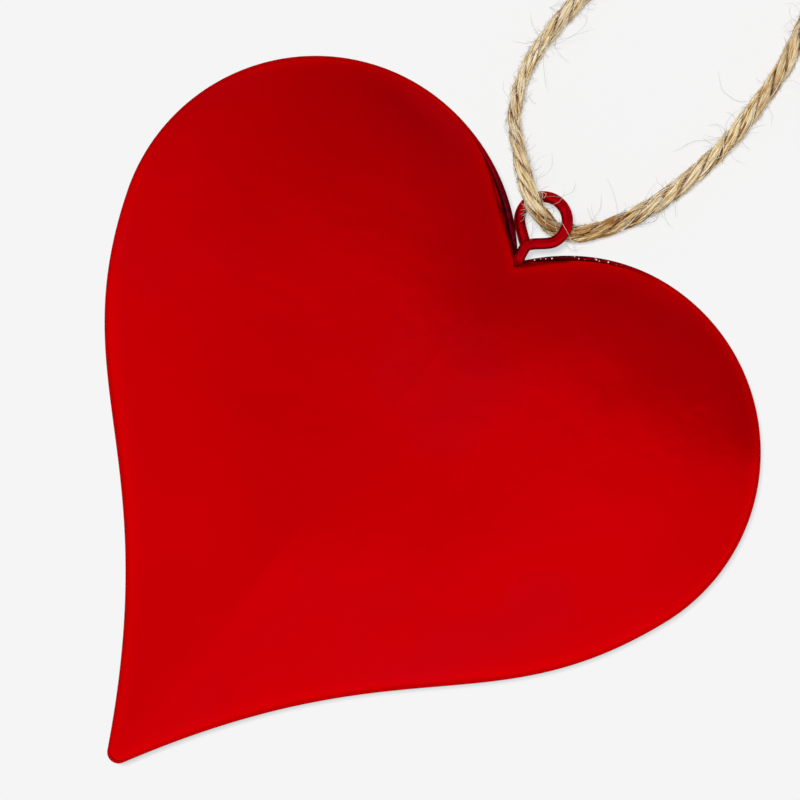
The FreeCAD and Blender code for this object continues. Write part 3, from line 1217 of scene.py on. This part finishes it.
@dataclass(frozen=True)
class TwineLay:
    """How the twine is made: three plies laid left-handed, their fibres nearly in line with it."""

    diameter: float = 3.0
    plies: int = 3
    ply_offset: float = 0.74
    ply_depth: float = 0.74
    ply_width: float = 0.86
    pitch: float = 14.3
    fibre_pitch: float = 100.0
    sides: int = 36
    ring_step: float = 0.5
    groove_depth: float = 0.09
    unevenness: float = 0.14
    uneven_length: float = 6.0
    ply_gap: float = 7.3
    stretch_fade: float = 1.3
    # A single jute fibre is about 0.05 mm wide, too fine to show, so strands this wide are drawn.
    fibre_width: float = 0.13
    fibre_run: float = 3.2
    # Painted shade in the hollows between the plies: the share of the way out from the twine's middle below
    # which it begins, and how soon it is full.
    hollow_shade_start: float = 0.83
    hollow_shade_fade: float = 0.15
    floor_gap: float = 0.03
    slim_stretch: tuple[float, float, float] = (77.0, 20.0, 0.2)
    # Painted shadow where the twine runs beside and under the eye's wire: each stretch's middle, reach and
    # strength.
    shadow_stretches: Triples = ((113.0, 15.0, 0.32), (103.0, 4.5, 0.28))

    def hollow_shade_at(self, depth: float) -> float:
        """How much painted shade the twine gets at a share of the way from its middle to its surface."""
        return smooth((self.hollow_shade_start - depth) / self.hollow_shade_fade)

    def uneven_at(self, stretch: tuple[float, float, float], distance: float) -> float:
        """How much an uneven stretch counts at a distance.

        Args:
            stretch: Its middle, how far it reaches each way, and how much it counts there.
            distance: The distance along the twine, in millimetres.

        Returns:
            The amount.
        """
        middle, reach, amount = stretch
        return amount * smooth(self.stretch_fade * (1 - abs(distance - middle) / reach))

    def shadow_at(self, distance: float) -> float:
        """How much painted shadow darkens the twine at a distance along it, in millimetres."""
        return sum(self.uneven_at(stretch, distance) for stretch in self.shadow_stretches)

    def spot(self, line: Line, ply: int, distance: float, fibre_angle: float, rise: float,
             squeeze: float = 1.0, girth: float = 1.0) -> tuple[Vector, float]:
        """A point on or above a ply's surface.

        Args:
            line: The twine's centreline, in metres.
            ply: The ply's number.
            distance: The distance along the twine, in metres.
            fibre_angle: The fibre's angle round the ply, before it is laid.
            rise: How far above the ply's mean surface.
            squeeze: How much thinner than usual the twine is.
            girth: How full the ply is, from 1 down to 0 where it comes to a point.

        Returns:
            The place in metres, kept off the floor, and its share of the way from the twine's middle
            to its surface.
        """
        point, _, side, up = line.at(distance)
        lay_turn = math.tau * (ply / self.plies - distance / (self.pitch * MM))
        fibre_turn = fibre_angle + math.tau * distance / MM * (1 / self.fibre_pitch + 1 / self.pitch)
        outward = side * math.cos(lay_turn) + up * math.sin(lay_turn)
        around = up * math.cos(lay_turn) - side * math.sin(lay_turn)
        swell = noise.noise(Vector((distance / (self.uneven_length * MM), ply * self.ply_gap, 0.5)))
        slim = squeeze * (1 - self.uneven_at(self.slim_stretch, distance / MM))
        size = slim * (1 + self.unevenness * swell)
        reach = self.ply_offset * slim + girth * (self.ply_depth * size + rise) * math.cos(fibre_turn)
        spread = girth * (self.ply_width * size + rise) * math.sin(fibre_turn)
        place = point + (outward * reach + around * spread) * MM
        place.z = max(place.z, self.floor_gap * MM)
        return place, math.hypot(reach, spread) / ((self.ply_offset + self.ply_depth) * slim)


@dataclass
class Plies:
    """Lengths of twine as one mesh: their plies, with the fibres' grooves and tones."""

    lay: TwineLay
    lines: Sequence[Line]
    seed: float
    squeeze: float = 1.0
    end_taper: float = 1.2
    tone_middle: float = 0.5
    tone_swing: float = 0.35
    grain_gap: float = 20.0
    # For coarse and fine grooves: how many lie round a ply, how soon they change along it, and how
    # far apart the plies are in the noise.
    folds: Triples = ((2.4, 1.0, 5.1), (5.5, 2.0, 3.7))

    def groove(self, strand: float, angle: float, distance: float) -> float:
        """How high a fibre stands, from about -1 to 1, drawn out along the ply.

        Args:
            strand: A number that sets this ply apart from the others.
            angle: The fibre's angle round the ply.
            distance: The distance along the twine.

        Returns:
            The height.
        """
        along = distance / (self.lay.fibre_run * 2)
        round_it = Vector((math.cos(angle), math.sin(angle), 0))
        return sum(noise.noise(round_it * number + UP * (along * rate + strand * gap))
                   for number, rate, gap in self.folds)

    def piece(self, name: str) -> bpy.types.Object:
        """Make the plies one piece, with each vertex's tone, painted hollow shade and grain.

        Args:
            name: The piece's name.

        Returns:
            The piece.
        """
        lay = self.lay
        angles = [math.tau * place / lay.sides for place in range(lay.sides)] + [0.0]
        plies = []
        for number, line in enumerate(self.lines):
            count = max(4, round(line.length / (lay.ring_step * MM)))
            for ply in range(lay.plies):
                strand = self.seed + number * lay.plies + ply
                rows = []
                for index in range(count + 1):
                    distance = line.length * index / count
                    from_end = min(distance, line.length - distance) / (self.end_taper * MM)
                    girth = math.sqrt(min(from_end, 1.0))
                    spots = []
                    for angle in angles:
                        groove = self.groove(strand, angle, distance / MM)
                        place, depth = lay.spot(line, ply, distance, angle, groove * lay.groove_depth,
                                                self.squeeze, girth)
                        spots.append((place, depth, groove, strand, distance / MM))
                    rows.append(spots)
                plies.append(rows)
        mesh = bmesh.new()
        tone, hollow = (mesh.verts.layers.float.new(layer) for layer in ("tone", "hollow"))
        grain = mesh.verts.layers.float_vector.new("grain")
        across = lay.ply_width / lay.fibre_width / 2
        strips = [[[place for place, *_ in spots] for spots in rows] for rows in plies]
        for vert, strip, row, column in skin(mesh, strips):
            _, depth, groove, strand, distance = plies[strip][row][column]
            angle = angles[column]
            # The tone holds the fibres' own streaks, less the painted shadow beside and under the eye's
            # wire.
            vert[tone] = self.tone_middle + self.tone_swing * groove - lay.shadow_at(distance)
            # Painted shade in the hollows between the plies.
            vert[hollow] = lay.hollow_shade_at(depth)
            vert[grain] = Vector((math.cos(angle) * across, math.sin(angle) * across,
                                  distance / lay.fibre_run + strand * self.grain_gap))
        return finish_piece(name, mesh)


@dataclass(frozen=True)
class FibreKind:
    """What one kind of fibre is drawn from, in millimetres but for its tone."""

    length: tuple[float, float]
    thickness: tuple[float, float]
    tone_and_spread: tuple[float, float]


@dataclass
class Fibres:
    """Single fibres as thin tapered tubes, gathered into one piece."""

    rng: random.Random
    sides: int = 3
    end_share: float = 0.35
    taper_share: float = 0.2
    grain_gap: float = 3.7
    grain_step: float = 0.3
    lines: list[tuple[Line, float, float, Sequence[float]]] = field(default_factory=list)

    def add(self, points: Sequence[Vector], thickness: float, tone: float,
            hollows: Sequence[float] = (0.0,)) -> None:
        """Add a fibre, raised where it would sink into the floor.

        Args:
            points: Points along it, in metres.
            thickness: Its thickness in the middle, in millimetres.
            tone: How pale it is, from 0 to 1.
            hollows: How much painted shade it gets from lying deep between the plies, from 0 to 1, evenly
                along it.
        """
        lowest = thickness / 2 * MM
        raised = [Vector((point.x, point.y, max(point.z, lowest))) for point in points]
        self.lines.append((Line(raised), thickness, tone, hollows))

    def grow(self, points: Sequence[Vector], kind: FibreKind, dull: float = 0.0,
             hollows: Sequence[float] = (0.0,)) -> None:
        """Add a fibre of a kind, with a thickness and a tone drawn for it.

        Args:
            points: Points along it, in metres.
            kind: Its kind.
            dull: How much painted shadow darkens it.
            hollows: How much painted shade it gets from lying deep between the plies, from 0 to 1, evenly
                along it.
        """
        thickness = self.rng.uniform(*kind.thickness)
        # Painted shadow lowers the fibre's tone.
        self.add(points, thickness, self.rng.gauss(*kind.tone_and_spread) - dull, hollows)

    def piece(self, name: str) -> bpy.types.Object:
        """Make the fibres one piece.

        Args:
            name: The piece's name.

        Returns:
            The piece.
        """
        strips = []
        for line, thickness, _, _ in self.lines:
            def radius_at(distance: float, line: Line = line, thickness: float = thickness) -> float:
                """The fibre's radius, less towards its ends.

                Args:
                    distance: The distance along the fibre, in metres.
                    line: Its centreline.
                    thickness: Its thickness in the middle, in millimetres.

                Returns:
                    The radius, in metres.
                """
                from_end = min(distance, line.length - distance) / line.length
                full = min(from_end / self.taper_share, 1.0)
                return thickness / 2 * MM * (self.end_share + (1 - self.end_share) * full)
            strips.append(line.bar(radius_at, line.length / (len(line.points) - 1), self.sides))
        mesh = bmesh.new()
        tone, hollow = (mesh.verts.layers.float.new(layer) for layer in ("tone", "hollow"))
        grain = mesh.verts.layers.float_vector.new("grain")
        for vert, strand, row, _ in skin(mesh, strips):
            _, _, vert[tone], hollows = self.lines[strand]
            # Painted shade where the fibre lies deep between the plies.
            vert[hollow] = hollows[round(row / (len(strips[strand]) - 1) * (len(hollows) - 1))]
            vert[grain] = Vector((strand * self.grain_gap, 0.0, row * self.grain_step))
        return finish_piece(name, mesh)


@dataclass
class TwineHanger:
    """The loop of twine through the eye, its knot, its two ends and all its stray fibres."""

    form: HeartForm
    eye: WireEye
    lay: TwineLay
    seed: int = 20
    loop_length: float = 202.1
    swing_deg: tuple[float, ...] = (-22.0, 0.0, 13.0)
    heart_gap: float = 0.4
    knot_centre: tuple[float, float, float] = (-1.6, 91.0, 4.02)
    knot_radius: float = 4.0
    knot_waist: float = 0.62
    knot_swell: float = 4.5
    knot_length: float = 9.2
    knot_turns: float = 1.5
    knot_squeeze: float = 0.86
    knot_steps: int = 96
    surface_fibres: int = 2300
    end_fibres: int = 75
    surface: FibreKind = FibreKind((3.0, 11.0), (0.08, 0.17), (0.64, 0.36))
    grown_span: tuple[float, float] = (0.01, 0.99)
    surface_step: float = 1.1
    surface_drift: float = 0.05
    surface_height: float = 0.09
    surface_sink: float = 0.10
    surface_dive: float = 8.0
    crossing_fibres: int = 380
    crossing: FibreKind = FibreKind((2.0, 7.0), (0.07, 0.14), (0.95, 0.2))
    crossing_rate: tuple[float, float] = (0.1, 0.6)
    crossing_step: float = 0.7
    crossing_root: float = 0.97
    crossing_bulge: float = 0.25
    stray_hairs: int = 1500
    eye_hairs: int = 45
    eye_distance: float = 99.0
    eye_spread: float = 2.5
    end_hairs: int = 60
    stray: FibreKind = FibreKind((0.8, 10.0), (0.04, 0.07), (0.7, 0.2))
    stray_mean: float = 2.2
    stray_step: float = 0.55
    stray_root: float = 0.85
    stray_lean: tuple[float, float] = (0.3, 1.6)
    stray_tilt: float = 0.4
    stray_curl: tuple[float, float] = (0.02, 0.8)
    curl_length: float = 5.0
    stray_kink: float = 0.13
    stray_lift: float = 0.05
    stray_sag: float = 0.03
    tuft_mean: float = 0.4
    tuft_swing: float = 1.3
    tuft_place: tuple[float, float] = (3.7, 8.1)
    tuft_spacing: float = 5.0
    fuzz_hairs: int = 1800
    fuzz: FibreKind = FibreKind((0.5, 1.7), (0.05, 0.09), (0.7, 0.25))
    fuzz_span: tuple[float, float] = (0.005, 0.995)
    fuzz_lean: tuple[float, float] = (0.8, 2.6)
    fuzz_root: float = 0.88
    fuzz_rise: float = 0.45
    fuzz_run: float = 0.4
    fuzz_bend: float = 1.6
    brush_hairs: int = 90
    brush: FibreKind = FibreKind((2.0, 4.6), (0.10, 0.20), (0.6, 0.2))
    brush_radius: float = 1.25
    brush_root: float = 1.2
    brush_spread: tuple[float, float] = (0.05, 0.45)
    drawn_hair_thickness: float = 0.08
    laid_gap: float = 0.05
    loose_gap: float = 0.06
    # The routes' points are given from the middle of the eye and from the floor.
    route_points: Triples = (
        (-3.4, 88.5, 3.6), (-7.6, 79.5, 1.8), (-13.0, 66.5, 1.5), (-17.6, 52.0, 1.5), (-19.4, 38.0, 1.5),
        (-20.1, 26.0, 1.5), (-18.9, 17.0, 1.5), (-15.1, 10.3, 2.3), (-11.0, 6.9, 5.4), (-7.7, 4.0, 7.5),
        (-4.7, 1.8, 8.3), (-1.8, 0.6, 7.1), (1.7, 0.0, 4.0), (4.4, 0.9, 2.6), (7.3, 2.9, 2.4),
        (10.3, 7.2, 1.7), (13.3, 13.4, 1.5), (15.4, 21.0, 1.5), (16.9, 30.0, 1.5), (16.8, 40.0, 1.5),
        (16.0, 50.5, 1.5), (12.6, 62.0, 1.5), (7.2, 73.0, 1.5), (2.6, 81.5, 1.8), (0.2, 88.5, 3.6))
    end_routes: tuple[Triples, ...] = (
        ((-3.0, 93.5, 3.4), (-4.2, 100.0, 2.0), (-6.6, 106.5, 1.5), (-10.2, 111.5, 1.5)),
        ((-0.2, 93.5, 3.4), (0.9, 99.5, 2.0), (3.4, 104.5, 1.5), (7.6, 107.5, 1.5)))
    hair_routes: tuple[Triples, ...] = (
        ((2.2, 1.9, 7.0), (2.9, 1.6, 7.7), (4.2, 1.1, 7.6), (5.6, 0.6, 6.0), (6.9, -0.1, 4.0),
         (8.2, -0.6, 2.4)),
        ((4.9, -0.2, 5.4), (5.6, -0.7, 4.6), (6.9, -1.0, 3.0), (8.0, -0.3, 2.2), (8.4, 0.9, 2.6)),
        ((-3.4, 0.9, 8.2), (-4.1, 0.2, 7.9), (-4.9, -0.3, 6.8)),
        ((-3.1, 0.4, 8.0), (-3.6, -0.4, 7.6), (-4.3, -1.2, 6.6)),
        ((-2.7, 0.1, 7.9), (-3.0, -0.9, 7.3), (-3.5, -1.9, 6.4)),
        ((-2.6, 2.7, 8.4), (-2.9, 3.4, 8.5), (-3.5, 3.7, 8.2), (-3.6, 3.2, 8.4)),
        ((-2.4, 2.9, 8.4), (-2.3, 3.5, 8.5), (-2.7, 4.0, 8.0)),
        ((-2.9, 2.9, 8.4), (-3.4, 3.1, 8.7), (-3.2, 3.9, 8.2), (-2.6, 3.7, 8.4)))

    def placed(self, route: Triples) -> Ring:
        """A route's points in the frame's place, in metres."""
        centre = self.eye.centre
        return [Vector((centre.x + x, centre.y + y, z)) * MM for x, y, z in route]

    @cached_property
    def loop(self) -> Line:
        """The loop's centreline."""
        return route_line("loop_route", self.placed(self.route_points))

    @cached_property
    def ends(self) -> list[Line]:
        """The two ends' centrelines."""
        return [route_line("end_route", self.placed(route), steps=24) for route in self.end_routes]

    @cached_property
    def wraps(self) -> list[Line]:
        """The knot's two strands, wound round each other side by side.

        Returns:
            Their centrelines.
        """
        middle = self.placed((self.knot_centre,))[0]
        wide = self.knot_radius - self.lay.diameter / 2 * self.knot_squeeze
        narrow = wide * self.knot_waist
        lines = []
        for phase in (math.pi, 0.0):
            points = []
            for step in range(self.knot_steps + 1):
                along = step / self.knot_steps
                radius = narrow + (wide - narrow) * smooth(min(along, 1 - along) * self.knot_swell)
                angle = phase + math.tau * self.knot_turns * along
                offset = Vector((radius * math.cos(angle), self.knot_length * (along - 0.5),
                                 radius * math.sin(angle)))
                points.append(middle + offset * MM)
            lines.append(Line(points))
        return lines

    def clear_of_heart(self, points: Sequence[Vector]) -> bool:
        """Whether a hair stays clear of both lobes wherever the twine swings.

        Args:
            points: Points along the hair, in metres.

        Returns:
            True if it does.
        """
        pivot = self.eye.centre * MM
        lobe_y = self.form.tip_y + self.form.lobe_centre_above_tip
        for angle in self.swing_deg:
            turn = Matrix.Rotation(math.radians(angle), 3, "Z")
            for point in points:
                place = (turn @ (point - pivot) + pivot) / MM
                away = math.hypot(abs(place.x) - self.form.lobe_x, place.y - lobe_y)
                if away < self.form.lobe_radius + self.heart_gap:
                    return False
        return True

    def surface_fibre(self, fibres: Fibres, line: Line, squeeze: float) -> None:
        """Lay one fibre on a ply.

        Args:
            fibres: The piece that gets it.
            line: The twine's centreline.
            squeeze: How much thinner than usual the twine is.
        """
        rng = fibres.rng
        length = rng.uniform(*self.surface.length)
        start = rng.uniform(*self.grown_span) * (line.length / MM - length)
        ply = rng.randrange(self.lay.plies)
        angle = rng.uniform(0, math.tau)
        drift = rng.gauss(0, self.surface_drift) * length
        height = rng.uniform(0.0, self.surface_height)
        count = max(4, round(length / self.surface_step))
        spots = []
        for index in range(count + 1):
            along = index / count
            sunk = 1 - smooth(min(along, 1 - along) * self.surface_dive)
            rise = height - self.surface_sink * sunk
            spots.append(self.lay.spot(line, ply, (start + length * along) * MM, angle + drift * along,
                                       rise, squeeze))
        # The fibre gets the painted shadow near the eye's wire and the painted shade of the hollows it dips
        # into.
        fibres.grow([place for place, _ in spots], self.surface, self.lay.shadow_at(start + length / 2),
                    [self.lay.hollow_shade_at(depth) for _, depth in spots])

    def crossing_fibre(self, fibres: Fibres, line: Line) -> None:
        """Lay one loose fibre slantwise over the plies.

        Args:
            fibres: The piece that gets it.
            line: The twine's centreline.
        """
        rng = fibres.rng
        length = rng.uniform(*self.crossing.length)
        start = rng.uniform(0, line.length / MM - length)
        angle = rng.uniform(0, math.tau)
        turns = rng.choice((-1, 1)) * rng.uniform(*self.crossing_rate) * length
        count = max(5, round(length / self.crossing_step))
        bulge = rng.uniform(0.0, self.crossing_bulge)
        points = []
        for index in range(count + 1):
            along = index / count
            distance = start + length * along
            point, _, side, up = line.at(distance * MM)
            turn = angle + turns * along
            slim = 1 - self.lay.uneven_at(self.lay.slim_stretch, distance)
            radius = self.lay.diameter / 2 * self.crossing_root * slim
            radius += bulge * math.sin(math.pi * along)
            place = point + (side * math.cos(turn) + up * math.sin(turn)) * radius * MM
            place.z = max(place.z, self.laid_gap * MM)
            points.append(place)
        fibres.grow(points, self.crossing)

    def tuft_at(self, start: float) -> float:
        """How thickly stray hairs grow at a distance along the twine, from 0 to about 1."""
        spot = Vector((start / (self.tuft_spacing * MM), *self.tuft_place))
        return self.tuft_mean + self.tuft_swing * noise.noise(spot)

    def stray_hair(self, fibres: Fibres, line: Line, start: float) -> None:
        """Let one hair curl away from the twine, unless it would reach into the heart.

        Args:
            fibres: The piece that gets it.
            line: The twine's centreline.
            start: The distance along the twine at which it grows.
        """
        rng = fibres.rng
        point, ahead, side, up = line.at(start)
        turn = rng.uniform(0, math.tau)
        outward = side * math.cos(turn) + up * math.sin(turn)
        least, most = self.stray.length
        length = min(rng.expovariate(1 / self.stray_mean) + least, most)
        heading = (outward + ahead * rng.choice((-1, 1)) * rng.uniform(*self.stray_lean)).normalized()
        curl_axis = Vector((rng.gauss(0, self.stray_tilt), rng.gauss(0, self.stray_tilt),
                            rng.choice((-1, 1)))).normalized()
        curl = rng.uniform(*self.stray_curl) / (1 + length / self.curl_length)
        place = point + outward * self.lay.diameter / 2 * self.stray_root * MM
        points = [place.copy()]
        count = max(5, round(length / self.stray_step))
        for _ in range(count):
            kink = Vector((rng.gauss(0, self.stray_kink), rng.gauss(0, self.stray_kink),
                           rng.gauss(0, self.stray_lift) - self.stray_sag))
            heading = (heading + curl_axis.cross(heading) * curl * length / count + kink).normalized()
            place = place + heading * length / count * MM
            place.z = max(place.z, self.loose_gap * MM)
            points.append(place.copy())
        if self.clear_of_heart(points):
            fibres.grow(points, self.stray)

    def fuzz_hair(self, fibres: Fibres, line: Line) -> None:
        """Raise one short hair from the twine's surface, unless it would reach into the heart.

        Args:
            fibres: The piece that gets it.
            line: The twine's centreline.
        """
        rng = fibres.rng
        point, ahead, side, up = line.at(rng.uniform(*self.fuzz_span) * line.length)
        turn = rng.uniform(0, math.tau)
        outward = side * math.cos(turn) + up * math.sin(turn)
        lean = ahead * rng.choice((-1, 1)) * rng.uniform(*self.fuzz_lean)
        length = rng.uniform(*self.fuzz.length)
        points = []
        for along in (0.0, 0.25, 0.5, 0.75, 1.0):
            offset = outward * (self.lay.diameter / 2 * self.fuzz_root + length * along * self.fuzz_rise)
            offset += lean * length * self.fuzz_run * math.sin(along * self.fuzz_bend)
            place = point + offset * MM
            place.z = max(place.z, self.laid_gap * MM)
            points.append(place)
        if self.clear_of_heart(points):
            fibres.grow(points, self.fuzz)

    def frayed_tip(self, fibres: Fibres, line: Line) -> None:
        """Open the cut end of the twine into a short brush.

        Args:
            fibres: The piece that gets the brush.
            line: The end's centreline.
        """
        rng = fibres.rng
        tip, ahead, side, up = line.at(line.length)
        for _ in range(self.brush_hairs):
            turn = rng.uniform(0, math.tau)
            outward = side * math.cos(turn) + up * math.sin(turn)
            radius = self.brush_radius * math.sqrt(rng.random())
            length = rng.uniform(*self.brush.length)
            spread = rng.uniform(*self.brush_spread)
            points = []
            for along in (0.0, 0.2, 0.4, 0.6, 0.8, 1.0):
                place = tip + ahead * (along * length - self.brush_root) * MM
                place += outward * (radius + spread * length * along * along) * MM
                place.z = max(place.z, self.loose_gap * MM)
                points.append(place)
            fibres.grow(points, self.brush)

    def laid_fibres(self, rng: random.Random) -> Fibres:
        """Gather the fibres that lie on the twine, and the brushes at its ends.

        Args:
            rng: Where the chances are drawn from.

        Returns:
            The fibres.
        """
        fibres = Fibres(rng)
        for lines, number, squeeze in (([self.loop], self.surface_fibres, 1.0),
                                       (self.ends, self.end_fibres, 1.0),
                                       (self.wraps, self.end_fibres, self.knot_squeeze)):
            for line in lines:
                for _ in range(number):
                    self.surface_fibre(fibres, line, squeeze)
        for _ in range(self.crossing_fibres):
            self.crossing_fibre(fibres, self.loop)
        for line in self.ends:
            self.frayed_tip(fibres, line)
        for route in self.hair_routes:
            points = route_line("hair_route", self.placed(route), steps=5).points
            fibres.add(points, self.drawn_hair_thickness, 1.0)
        return fibres

    def loose_hairs(self, rng: random.Random) -> Fibres:
        """Gather the hairs that stand off the twine.

        Args:
            rng: Where the chances are drawn from.

        Returns:
            The fibres.
        """
        hairs = Fibres(rng)
        for line, strays, fuzz in ((self.loop, self.stray_hairs, self.fuzz_hairs),
                                   *((line, self.end_hairs, self.end_hairs)
                                     for line in self.ends + self.wraps)):
            for _ in range(strays):
                start = rng.uniform(*self.grown_span) * line.length
                if rng.random() < self.tuft_at(start):
                    self.stray_hair(hairs, line, start)
            for _ in range(fuzz):
                self.fuzz_hair(hairs, line)
        for _ in range(self.eye_hairs):
            self.stray_hair(hairs, self.loop, rng.gauss(self.eye_distance, self.eye_spread) * MM)
        return hairs

    def build(self, finishes: Finishes) -> None:
        """Args:
            finishes: The finishes that the pieces share.
        """
        rng = random.Random(self.seed)
        for piece, finish, nodes in (
                (Plies(self.lay, [self.loop], 0.0).piece("jute_loop"), finishes.jute, ["twine_loop"]),
                (Plies(self.lay, self.wraps, 40.0, self.knot_squeeze).piece("jute_knot"), finishes.jute,
                 ["twine_knot"]),
                (Plies(self.lay, self.ends, 70.0).piece("jute_ends"), finishes.jute, ["twine_ends"]),
                (self.laid_fibres(rng).piece("jute_fibres"), finishes.jute, []),
                (self.loose_hairs(rng).piece("jute_hairs"), finishes.hair, [])):
            fit_out(piece, finish, Body.TWINE, nodes)
        self.loop.points[0]
        self.loop.points


def main() -> None:
    """Build the heart and its twine round the frame."""
    logging.basicConfig(level=logging.INFO, format="%(message)s")
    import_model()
    Studio().build()
    finishes = Finishes()
    form = HeartForm()
    eye = WireEye(form)
    TwineHanger(form, eye, TwineLay()).build(finishes)
    eye.build(finishes)
    TinShells(form).build(finishes)
    SolderedSeam(form).build(finishes)


if __name__ == "__main__":
    main()
